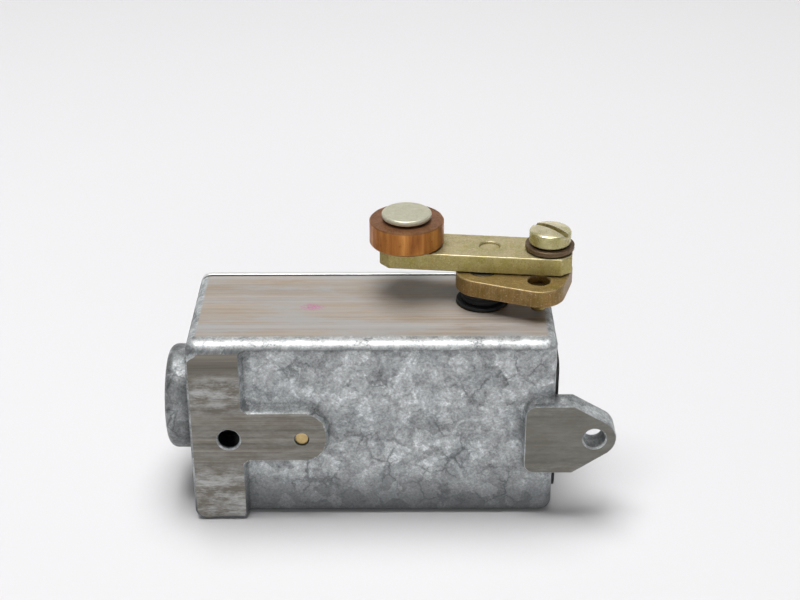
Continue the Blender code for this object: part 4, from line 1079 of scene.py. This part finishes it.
def make_cover(look):
    """The cover, with a shallow panel sunk in its outer face."""
    outline = rounded_rectangle((LEFT, 0), (RIGHT, CASE_HEIGHT), CASE_ROUND, 12)
    work = prism(outline, COVER_FRONT, COVER_REAR, "Y")
    rim = [e for e in work.edges if all(abs(v.co.y - COVER_REAR) < 1e-6 for v in e.verts)]
    bmesh.ops.bevel(work, geom=rim, offset=0.0012, segments=5, profile=0.5, affect="EDGES")
    cover = object_from("cover_plate", work)
    lowest = (LEFT + PANEL_SIDE_BORDER, PANEL_BORDER)
    highest = (RIGHT - PANEL_SIDE_BORDER, CASE_HEIGHT - PANEL_BORDER)
    panel = rounded_rectangle(lowest, highest, 0.004, 10)
    combine(cover, prism(panel, COVER_REAR - PANEL_DEPTH, COVER_REAR + MARGIN, "Y"))
    eased(cover, 0.0003, 3, math.radians(50))
    ends = (COVER_FRONT - MARGIN, COVER_REAR + MARGIN)
    combine(cover, joined(*[hole_for(name, COVER_SCREW_HOLE, *ends) for name in COVER_SCREWS]))
    finished(cover, look, "case", "cast_metal", "cover")


# ---------------------------------------------------------------- repeated fasteners
def repeat_tree(name):
    """A Geometry Nodes tree that sets one fastener on a grid of points across an upright face."""
    tree = bpy.data.node_groups.new(name, "GeometryNodeTree")
    kinds = {
        "Geometry": "NodeSocketGeometry", "Fastener": "NodeSocketObject",
        "Finish": "NodeSocketMaterial", "Width": FLOAT, "Height": FLOAT,
        "Columns": "NodeSocketInt", "Rows": "NodeSocketInt", "Turn step": FLOAT,
        "Outward": "NodeSocketRotation", "Centre": VECTOR,
    }  # fmt: skip
    for label, kind in kinds.items():
        tree.interface.new_socket(label, in_out="INPUT", socket_type=kind)
    tree.interface.new_socket("Geometry", in_out="OUTPUT", socket_type="NodeSocketGeometry")
    start = tree.nodes.new("NodeGroupInput")
    result = tree.nodes.new("NodeGroupOutput")
    given = {label: output(start, label) for label in kinds}

    size = {"Size X": given["Width"], "Size Y": given["Height"]}
    size |= {"Vertices X": given["Columns"], "Vertices Y": given["Rows"]}
    grid = output(place(tree, "GeometryNodeMeshGrid", size), "Mesh")
    info = place(tree, "GeometryNodeObjectInfo", {"Object": given["Fastener"]})
    number = output(tree.nodes.new("GeometryNodeInputIndex"))
    turn = (number + 1.0) * given["Turn step"]
    spin = output(place(tree, "ShaderNodeCombineXYZ", {Z: turn}))
    inputs = {"Points": grid, "Instance": output(info, "Geometry"), "Rotation": spin}
    solid = output(place(tree, "GeometryNodeInstanceOnPoints", inputs))
    solid = output(place(tree, "GeometryNodeRealizeInstances", {0: solid}))
    inputs = {"Geometry": solid, "Rotation": given["Outward"], "Translation": given["Centre"]}
    solid = output(place(tree, "GeometryNodeTransform", inputs))
    inputs = {"Geometry": solid, "Material": given["Finish"]}
    solid = output(place(tree, "GeometryNodeSetMaterial", inputs))
    tree.links.new(solid.socket, result.inputs[0])
    return tree


def repeated(name, tree, fastener, look, **given):
    """One mesh of a fastener set out on a grid."""
    piece = object_from(name, bmesh.new())
    step = piece.modifiers.new("set out", "NODES")
    step.node_group = tree
    sockets = {s.name: s.identifier for s in tree.interface.items_tree if s.in_out == "INPUT"}
    step[sockets["Fastener"]] = fastener
    step[sockets["Finish"]] = look
    for label, value in given.items():
        step[sockets[label.replace("_", " ")]] = value
    applied(piece)
    mesh = fastener.data
    bpy.data.objects.remove(fastener)
    bpy.data.meshes.remove(mesh)
    return piece


def cover_screw():
    """A slotted pan head on its shank, drawn along +Z with its seat at zero."""
    radius, height, shank, length = 0.0033, SCREW_HEAD_HEIGHT, 0.0018, 0.009
    turns = (0.0, 0.25, 0.5, 0.75, 1.0, 1.2, 1.4)
    crown = [(radius * math.cos(a), height * (0.35 + 0.65 * math.sin(a))) for a in turns]
    profile = [(0, -length), (shank * 0.8, -length), (shank, 0.0004 - length)]
    profile += [(shank, 0), (radius, 0), *crown, (0, height)]
    screw = object_from("screw", turned(profile, ROUND))
    combine(screw, box((-2 * radius, -0.0004, height * 0.45), (2 * radius, 0.0004, 2 * height)))
    eased(screw, 0.00008, 2)
    return smoothed(screw)


def plate_rivet():
    """A domed rivet, drawn along +Z with its head's seat at zero."""
    radius, height, shank, length = 0.0018, RIVET_HEAD_HEIGHT, 0.0011, 0.0022
    dome = [(radius * math.cos(a), height * math.sin(a)) for a in (0.2, 0.45, 0.7, 0.95, 1.2, 1.4)]
    profile = [(0, -length), (shank, -length), (shank, 0), (radius, 0)]
    return smoothed(object_from("rivet", turned([*profile, *dome, (0, height)], 32)))


def make_repeated_fasteners(screw_look, rivet_look):
    tree = repeat_tree("fastener grid")
    xs = [middle(name, X) for name in COVER_SCREWS]
    zs = [middle(name, Z) for name in COVER_SCREWS]
    seat = high(COVER_SCREWS[0], Y) - SCREW_HEAD_HEIGHT
    screws = repeated(
        "cover_screws", tree, cover_screw(), screw_look,
        Width=max(xs) - min(xs), Height=max(zs) - min(zs), Columns=2, Rows=2,
        Turn_step=math.radians(35), Outward=(math.radians(-90), 0, 0),
        Centre=((min(xs) + max(xs)) / 2, seat, (min(zs) + max(zs)) / 2),
    )  # fmt: skip
    finished(screws, screw_look, "case", "cover_screw_steel", *COVER_SCREWS)

    zs = [middle(name, Z) for name in RIVETS]
    seat = high(RIVETS[0], X) - RIVET_HEAD_HEIGHT
    rivets = repeated(
        "plate_rivets", tree, plate_rivet(), rivet_look,
        Width=max(zs) - min(zs), Height=0.0, Columns=2, Rows=1,
        Turn_step=0.0, Outward=(0, math.radians(90), 0),
        Centre=(seat, middle(RIVETS[0], Y), (min(zs) + max(zs)) / 2),
    )  # fmt: skip
    finished(rivets, rivet_look, "case", "rivet_metal", *RIVETS)


# ---------------------------------------------------------------- the other fixed pieces
def upright_block(inset, radius, start, end, shift=0.0):
    """A round-cornered block on the end plate's outline, pushed along X."""
    (y0, y1), (z0, z1) = span("end_plate", Y), span("end_plate", Z)
    outline = rounded_rectangle((y0 + inset, z0 + inset), (y1 - inset, z1 - inset), radius)
    work = prism(outline, start, end)
    turn = Matrix(((0, 0, 1, shift), (1, 0, 0, 0), (0, 1, 0, 0), (0, 0, 0, 1)))
    bmesh.ops.transform(work, matrix=turn, verts=work.verts)
    return closed(work)


def make_end_plate(look):
    """The black plate on the right end, with a raised rim round a plain field."""
    x0, x1 = span("end_plate", X)
    plate = object_from("end_plate_black", upright_block(0.0, 0.003, x0, x1))
    combine(plate, upright_block(0.0012, 0.002, 0, 1, x1 - PLATE_FIELD_DEPTH))
    ends = (x0 - MARGIN, x1 + MARGIN)
    combine(plate, joined(*[hole_for(name, RIVET_HOLE, *ends, X, 32) for name in RIVETS]))
    eased(plate, 0.00008, 2)
    finished(plate, look, "case", "black_plate", "end_plate")


def make_seal(look):
    """The rubber lip seal round the shaft: a low flange and two soft beads, near black as rubber and
    as painted shade under the crank.
    """
    flange = half_width("shaft_seal")
    waist = flange - SEAL_SLACK - SEAL_BEAD
    bottom, top = span("shaft_seal", Z)
    neck = bottom + SEAL_FLANGE
    tall = (top - neck) / 2
    profile = [(SEAL_BORE, bottom), (flange, bottom), (flange, neck - 0.0002)]
    profile += [(flange - 0.0002, neck), (waist, neck)]
    for centre in (neck + tall / 2, neck + tall * 1.5):
        for k in range(1, 8):
            a = math.pi * k / 8 - math.pi / 2
            profile.append((waist + SEAL_BEAD * math.cos(a), centre + tall / 2 * math.sin(a)))
    profile += [(waist, top), (SEAL_BORE, top)]
    seal = object_from("shaft_lip_seal", placed(turned(profile, ring=True), SHAFT))
    finished(seal, look, "case", "seal_rubber", "shaft_seal")


def make_base_screw(look):
    """The brass screw whose end shows in the tongue."""
    tip, seat = span("contact_base_screw", Y)
    shank, head, head_foot = BASE_SCREW_RADIUS, 0.0028, seat - 0.002
    profile = [(0, tip), (shank * 0.78, tip), (shank * 0.97, tip + 0.00012), (shank, tip + 0.0004)]
    profile += [(shank, head_foot), (head, head_foot), (head, seat - 0.0005)]
    profile += [(head - 0.0005, seat), (0, seat)]
    centre = (UNIT_SCREW_X, 0, FIXING_Z)
    screw = object_from("base_screw", placed(aimed(turned(profile, ROUND), (0, 1, 0)), centre))
    slot = box((-0.004, seat - 0.0008, -0.0004), (0.004, seat + MARGIN, 0.0004))
    combine(screw, placed(slot, centre))
    finished(screw, look, "case", "base_screw_brass", "contact_base_screw")


# ---------------------------------------------------------------- the lever work
def chamfered_drill(radius, bottom, top, face, chamfer=0.00025):
    """A drill that breaks the upper edge of its hole."""
    profile = [(0, bottom), (radius, bottom), (radius, face - chamfer)]
    profile += [(radius + chamfer + top - face, top), (0, top)]
    return turned(profile, 64)


def make_crank(look):
    outline = hull(
        circle(SHAFT, CRANK_HUB_RADIUS)
        + circle(SCREW, CRANK_LEVER_END_RADIUS)
        + circle(SPARE, CRANK_SPARE_END_RADIUS)
    )
    crank = object_from("crank_plate", prism(outline, CRANK_LOW, CRANK_TOP))
    eased(crank, EDGE_ROUND)
    ends = (CRANK_LOW - MARGIN, CRANK_TOP + MARGIN, CRANK_TOP)
    radii = {SHAFT: SHAFT_NECK_RADIUS, SCREW: LEVER_SCREW_RADIUS, SPARE: POINT_SCREW_RADIUS}
    drills = [placed(chamfered_drill(r + FIT, *ends), centre) for centre, r in radii.items()]
    combine(crank, joined(*drills))
    finished(crank, look, "shaft", "lever_plated_steel", "crank")


def make_lever(look):
    half, cut = LEVER_HALF_WIDTH, LEVER_CHAMFER
    near, far = -LEVER_SCREW_END, LEVER_REACH + LEVER_ROLLER_END
    outline = [
        (near + cut, -half), (far - cut, -half), (far, cut - half), (far, half - cut),
        (far - cut, half), (near + cut, half), (near, half - cut), (near, cut - half),
    ]  # fmt: skip
    bar = placed(prism(outline, LEVER_LOW, LEVER_TOP), SCREW, LEVER_ANGLE)
    lever = object_from("roller_lever_bar", bar)
    eased(lever, EDGE_ROUND)
    bottom, floor = LEVER_LOW - MARGIN, LEVER_TOP - LEVER_RECESS_DEPTH
    drills = [
        placed(chamfered_drill(radius, foot, LEVER_TOP + MARGIN, LEVER_TOP), (reach, 0, 0))
        for radius, foot, reach in (
            (LEVER_SCREW_RADIUS + FIT, bottom, 0),
            (LEVER_RECESS_RADIUS, floor, LEVER_RECESS_REACH),
            (ROLLER_PIN_RADIUS + FIT, bottom, LEVER_REACH),
        )
    ]
    combine(lever, placed(joined(*drills), SCREW, LEVER_ANGLE))
    finished(lever, look, "lever", "lever_plated_steel", "roller_lever")


def make_lever_screw(look):
    """The cheese head screw that clamps the lever to the crank."""
    bottom, top = span("lever_screw", Z)
    seat = high("lever_washer", Z) + 0.00025
    head, shank, edge = half_width("lever_screw"), LEVER_SCREW_RADIUS, HEAD_EDGE
    profile = [(0, bottom), (shank - 0.0004, bottom), (shank, bottom + 0.0004)]
    profile += [(shank, seat), (head - 0.0003, seat), (head, seat + 0.0003)]
    profile += arc((head - edge, top - HEAD_CROWN - edge), edge, 0, math.radians(60), 6)
    inner, rim = profile[-1]
    for k in range(1, 12):
        r = inner * (1 - k / 12)
        profile.append((r, rim + (top - rim) * (1 - (r / inner) ** 2.2)))
    profile.append((0, top))
    screw = object_from("lever_clamp_screw", placed(turned(profile), SCREW))
    half = LEVER_SLOT_WIDTH / 2
    slot = box((-2 * head, -half, top - LEVER_SLOT_DEPTH), (2 * head, half, top + MARGIN))
    combine(screw, placed(slot, SCREW, LEVER_SLOT_ANGLE))
    eased(screw, 0.0001, 2, math.radians(50))
    finished(screw, look, "shaft", "lever_screw_steel", "lever_screw")


def make_washer(look):
    """The split spring washer, its ends a little apart in height."""
    bottom, top = span("lever_washer", Z)
    inner, outer = LEVER_SCREW_RADIUS + FIT, half_width("lever_washer", Y)
    rise, steps, ease = 0.0002, 120, 0.00012
    gap = 0.0007 / outer
    thick = top - bottom - rise
    work = bmesh.new()
    rings = []
    for k in range(steps + 1):
        angle = gap / 2 + (2 * math.pi - gap) * k / steps
        foot = bottom + rise * k / steps
        section = [
            (inner + ease, foot), (outer - ease, foot), (outer, foot + ease),
            (outer, foot + thick - ease), (outer - ease, foot + thick),
            (inner + ease, foot + thick), (inner, foot + thick - ease), (inner, foot + ease),
        ]  # fmt: skip
        corners = [(r * math.cos(angle), r * math.sin(angle), z) for r, z in section]
        rings.append([work.verts.new(corner) for corner in corners])
    skinned(work, rings)
    washer = object_from("split_washer", placed(closed(work), SCREW))
    finished(washer, look, "shaft", "washer_steel", "lever_washer")


def make_point_screw(look):
    """The set screw in the crank's spare hole. Its dog point hangs out below."""
    bottom, top = span("crank_point_screw", Z)
    ease = POINT_RADIUS * 0.18
    flat = POINT_RADIUS * 0.82
    profile = [(0, bottom), (flat, bottom)]
    profile += arc((flat, bottom + ease), ease, -math.pi / 2, 0, 4)
    profile += [(POINT_RADIUS, CRANK_LOW), (POINT_SCREW_RADIUS, CRANK_LOW + 0.0007)]
    profile += [(POINT_SCREW_RADIUS, top - 0.0003), (POINT_SCREW_RADIUS - 0.0003, top), (0, top)]
    screw = object_from("crank_set_screw", placed(turned(profile, ROUND), SPARE))
    slot = box((-0.004, -0.0004, top - 0.0009), (0.004, 0.0004, top + MARGIN))
    combine(screw, placed(slot, SPARE, POINT_SLOT_ANGLE))
    finished(screw, look, "shaft", "point_screw_brass", "crank_point_screw")


def make_roller(look):
    bottom, top = span("roller", Z)
    radius, bore = half_width("roller"), ROLLER_BORE
    ease, face = 0.00025, 0.0001
    profile = [
        (bore, bottom + ease), (bore + ease, bottom), (radius - 3 * ease, bottom),
        (radius - ease, bottom + face / 2), (radius, bottom + ease + face),
        (radius, top - ease - face), (radius - ease, top - face / 2), (radius - 3 * ease, top),
        (bore + ease, top), (bore, top - ease),
    ]  # fmt: skip
    roller = object_from("bronze_roller", placed(turned(profile, 128, ring=True), ROLLER))
    finished(roller, look, "roller", "roller_bronze", "roller")


def make_roller_pin(look):
    """The pin and its riveted cap, a little dished."""
    bottom, top = span("roller_pin", Z)
    cap, cap_low = half_width("roller_pin"), high("roller", Z) + 0.0005
    pin, edge = ROLLER_PIN_RADIUS, 0.00045
    profile = [(0, bottom), (pin - 0.0003, bottom), (pin, bottom + 0.0003), (pin, cap_low)]
    profile += [(cap - edge, cap_low)]
    profile += arc((cap - edge, cap_low + edge), edge, -math.pi / 2, 0, 4)[1:]
    profile += arc((cap - edge, top - edge), edge, 0, math.pi / 2, 6)
    dish, lip = 0.00014, 0.0048
    profile += [(lip, top), (lip - 0.0004, top - dish * 0.7), (lip - 0.0009, top - dish)]
    profile += [(0.002, top - dish), (0, top - dish * 1.2)]
    piece = object_from("roller_pin_cap", placed(turned(profile, 128), ROLLER))
    finished(piece, look, "lever", "roller_pin_metal", "roller_pin")


# ---------------------------------------------------------------- the pieces inside
def make_return_springs(look):
    """The slider's two springs, made again from their nodes as smooth pieces with their finish."""
    left, right = "return_spring_left", "return_spring_right"
    for node, fixed, moving in ((left, low, high), (right, high, low)):
        work = bmesh.new()
        work.from_mesh(frame["nodes"][node].data)
        bmesh.ops.remove_doubles(work, verts=work.verts, dist=1e-6)
        piece = object_from(node + "_coils", work)
        smoothed(piece)
        piece.data.materials.clear()
        piece.data.materials.append(look)
        start, end = (fixed(node, X), 0, 0), (moving(node, X), 0, 0)
        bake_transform(piece)
        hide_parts(node)


def finish_inner_pieces():
    """Give every node that keeps its own shape a finish with grain, painted shade in its corners and
    wear.
    """
    steel = plain_finish("turned steel", "a9a9a6", "6d6c69", 1.0, 0.34, 900.0, "dededa")
    spring = plain_finish("spring steel", "8f8f8c", "55534f", 1.0, 0.36, 1200.0, "cfcfcb")
    zinc = plain_finish("zinc plated steel", "b5b4a6", "7d7b6d", 0.9, 0.38, 900.0, "e2e1da")
    brass = plain_finish("contact brass", "c9a45c", "8c6a33", 1.0, 0.34, 900.0, "ecd79f")
    bronze = plain_finish("bush bronze", "a97a4a", "6b4526", 1.0, 0.40, 800.0, "d6ab7a")
    phenolic = plain_finish("phenolic moulding", "3c2a20", "1f1611", 0.0, 0.42, 500.0, "5c463a")
    fibre = plain_finish("gasket fibre", "3b3834", "211f1c", 0.0, 0.85, 1500.0)
    numbers = range(1, 5)
    looks = [
        (fibre, ["cover_gasket"]),
        (bronze, ["shaft_bush"]),
        (phenolic, ["contact_base", "contact_slider"]),
        (brass, ["earth_screw", "contact_bridge", *[f"terminal_{n}" for n in numbers]]),
        (zinc, ["earth_washer", *[f"terminal_screw_{n}" for n in numbers]]),
        (zinc, [f"terminal_clamp_{n}" for n in numbers]),
        (spring, ["bridge_spring_left", "bridge_spring_right"]),
        (steel, ["shaft", "shaft_clip", "drive_arm", "drive_arm_pin", "drive_pin"]),
    ]
    for look, names in looks:
        for name in names:
            materials = frame["nodes"][name].data.materials
            if len(materials) == 0:
                materials.append(look)
            for index in range(len(materials)):
                materials[index] = look
    make_return_springs(spring)


# ---------------------------------------------------------------- floor, light and camera
def make_floor():
    """A pale floor that fades into the backdrop far away."""
    finish = Finish("pale floor")
    where = finish.where
    colour = shades(cloud(where, 3.0, 2.0), (0.0, "dedddf"), (1.0, "e4e3e4"))
    away = vectors("LENGTH", where, result="Value")
    glow = painted("000000", "ececed", away.levels(*FLOOR_FADE, smooth=True))
    finish.feed(Emission_Color=glow)
    finish.shader.inputs["Specular IOR Level"].default_value = 0.2
    finish.shader.inputs["Emission Strength"].default_value = 1.0
    look = finish.done(colour, cloud(where, 40.0, 3.0).levels(0.3, 0.7, 0.75, 0.9))
    far, top = FLOOR_HALF_WIDTH, -FLOOR_DROP
    floor = object_from("floor", box((-far, -far, top - FLOOR_THICKNESS), (far, far, top)))
    floor.data.materials.append(look)


def area_light(name, position, size, power):
    """A lamp of some width and height, aimed at the middle of the part."""
    data = bpy.data.lights.new(name, "AREA")
    data.shape = "RECTANGLE"
    data.size, data.size_y = size
    data.energy = power
    light = bpy.data.objects.new(name, data)
    bpy.context.scene.collection.objects.link(light)
    aim = Vector(LIGHT_TARGET) - Vector(position)
    light.location = position
    light.rotation_euler = aim.to_track_quat("-Z", "Y").to_euler()


def make_light():
    """Three lamps in a room that is bright low down. The camera sees it as an even backdrop."""
    scene = bpy.context.scene
    world = bpy.data.worlds.new("studio")
    scene.world = world
    world.use_nodes = True
    tree = world.node_tree
    back = tree.nodes["Background"]
    height = split(output(place(tree, "ShaderNodeTexCoord"), "Generated"))[Z]
    room = height.levels(0.42, 0.16, 0.04, 0.70, smooth=True)
    back.inputs["Color"].default_value = (1.0, 1.0, 1.0, 1.0)
    seen = output(place(tree, "ShaderNodeLightPath"), "Is Camera Ray")
    tree.links.new(between(seen, room, BACKDROP).socket, back.inputs["Strength"])
    scene.view_settings.view_transform = "Standard"
    for lamp in LAMPS:
        area_light(*lamp)


def make_camera():
    """The view: from the front, 28 degrees down, a little turned."""
    pitch, yaw, roll = (math.radians(angle) for angle in CAMERA_TURNS)
    reach = math.cos(pitch)
    ahead = Vector((math.sin(yaw) * reach, math.cos(yaw) * reach, -math.sin(pitch)))
    level = Vector((math.cos(yaw), -math.sin(yaw), 0))
    down = ahead.cross(level)
    right = math.cos(roll) * level + math.sin(roll) * down
    below = math.cos(roll) * down - math.sin(roll) * level
    data = bpy.data.cameras.new("camera")
    data.sensor_width = CAMERA_SENSOR
    data.lens = CAMERA_LENS
    data.clip_start = 0.01
    camera = bpy.data.objects.new("camera", data)
    bpy.context.scene.collection.objects.link(camera)
    turn = Matrix((right, -below, -ahead)).transposed()
    camera.matrix_world = Matrix.Translation(CAMERA_PLACE) @ turn.to_4x4()
    bpy.context.scene.camera = camera


def main():
    make_camera()
    make_light()
    make_floor()
    make_case(cast_aluminium())
    make_cover(pressed_cover())
    make_repeated_fasteners(
        plain_finish("cover screw steel", "b9b9b4", "7f7e79", 1.0, 0.34, 900.0, "e6e6e2"),
        plain_finish("rivet aluminium", "c4c4c1", "8d8d8a", 1.0, 0.36, 1000.0, "e6e6e2"),
    )
    make_end_plate(plain_finish("black paint", "1c1c1d", "0e0e0f", 0.1, 0.42, 700.0, "55565a"))
    # Near black: the rubber's own black, darkened further as painted shade for the dark band under the
    # crank.
    make_seal(plain_finish("seal rubber", "0f0f10", "060607", 0.0, 0.75, 900.0))
    brass = plain_finish("base screw brass", "cdb688", "a98f5c", 0.9, 0.36, 1500.0, "e6d9b4")
    make_base_screw(brass)
    # Each plated finish takes a lit top colour and a shaded side colour: painted light.
    make_lever(plated_steel("lever zinc", "c9bc94", "b5a769", "8f8450", "e6e2d0"))
    # Darker and browner than the lever's zinc: partly a browner plating, partly painted shade under
    # the lever.
    make_crank(plated_steel("crank zinc", "a8905a", "957540", "6b522c", "e0d6ba"))
    make_lever_screw(plated_steel("screw zinc", "efe6c4", "c2b986", "8a8154", "d9d6c6", 0.26))
    make_washer(plain_finish("washer steel", "826c52", "4d3e2d", 0.8, 0.45, 900.0, "a8957c"))
    brass = plain_finish("point screw brass", "a8955c", "6d5c33", 1.0, 0.38, 1200.0, "d6c592")
    make_point_screw(brass)
    make_roller(roller_bronze())
    make_roller_pin(plain_finish("pin nickel", "d2d0ba", "b4b199", 0.5, 0.40, 500.0, "e4e3d4"))
    finish_inner_pieces()


main()
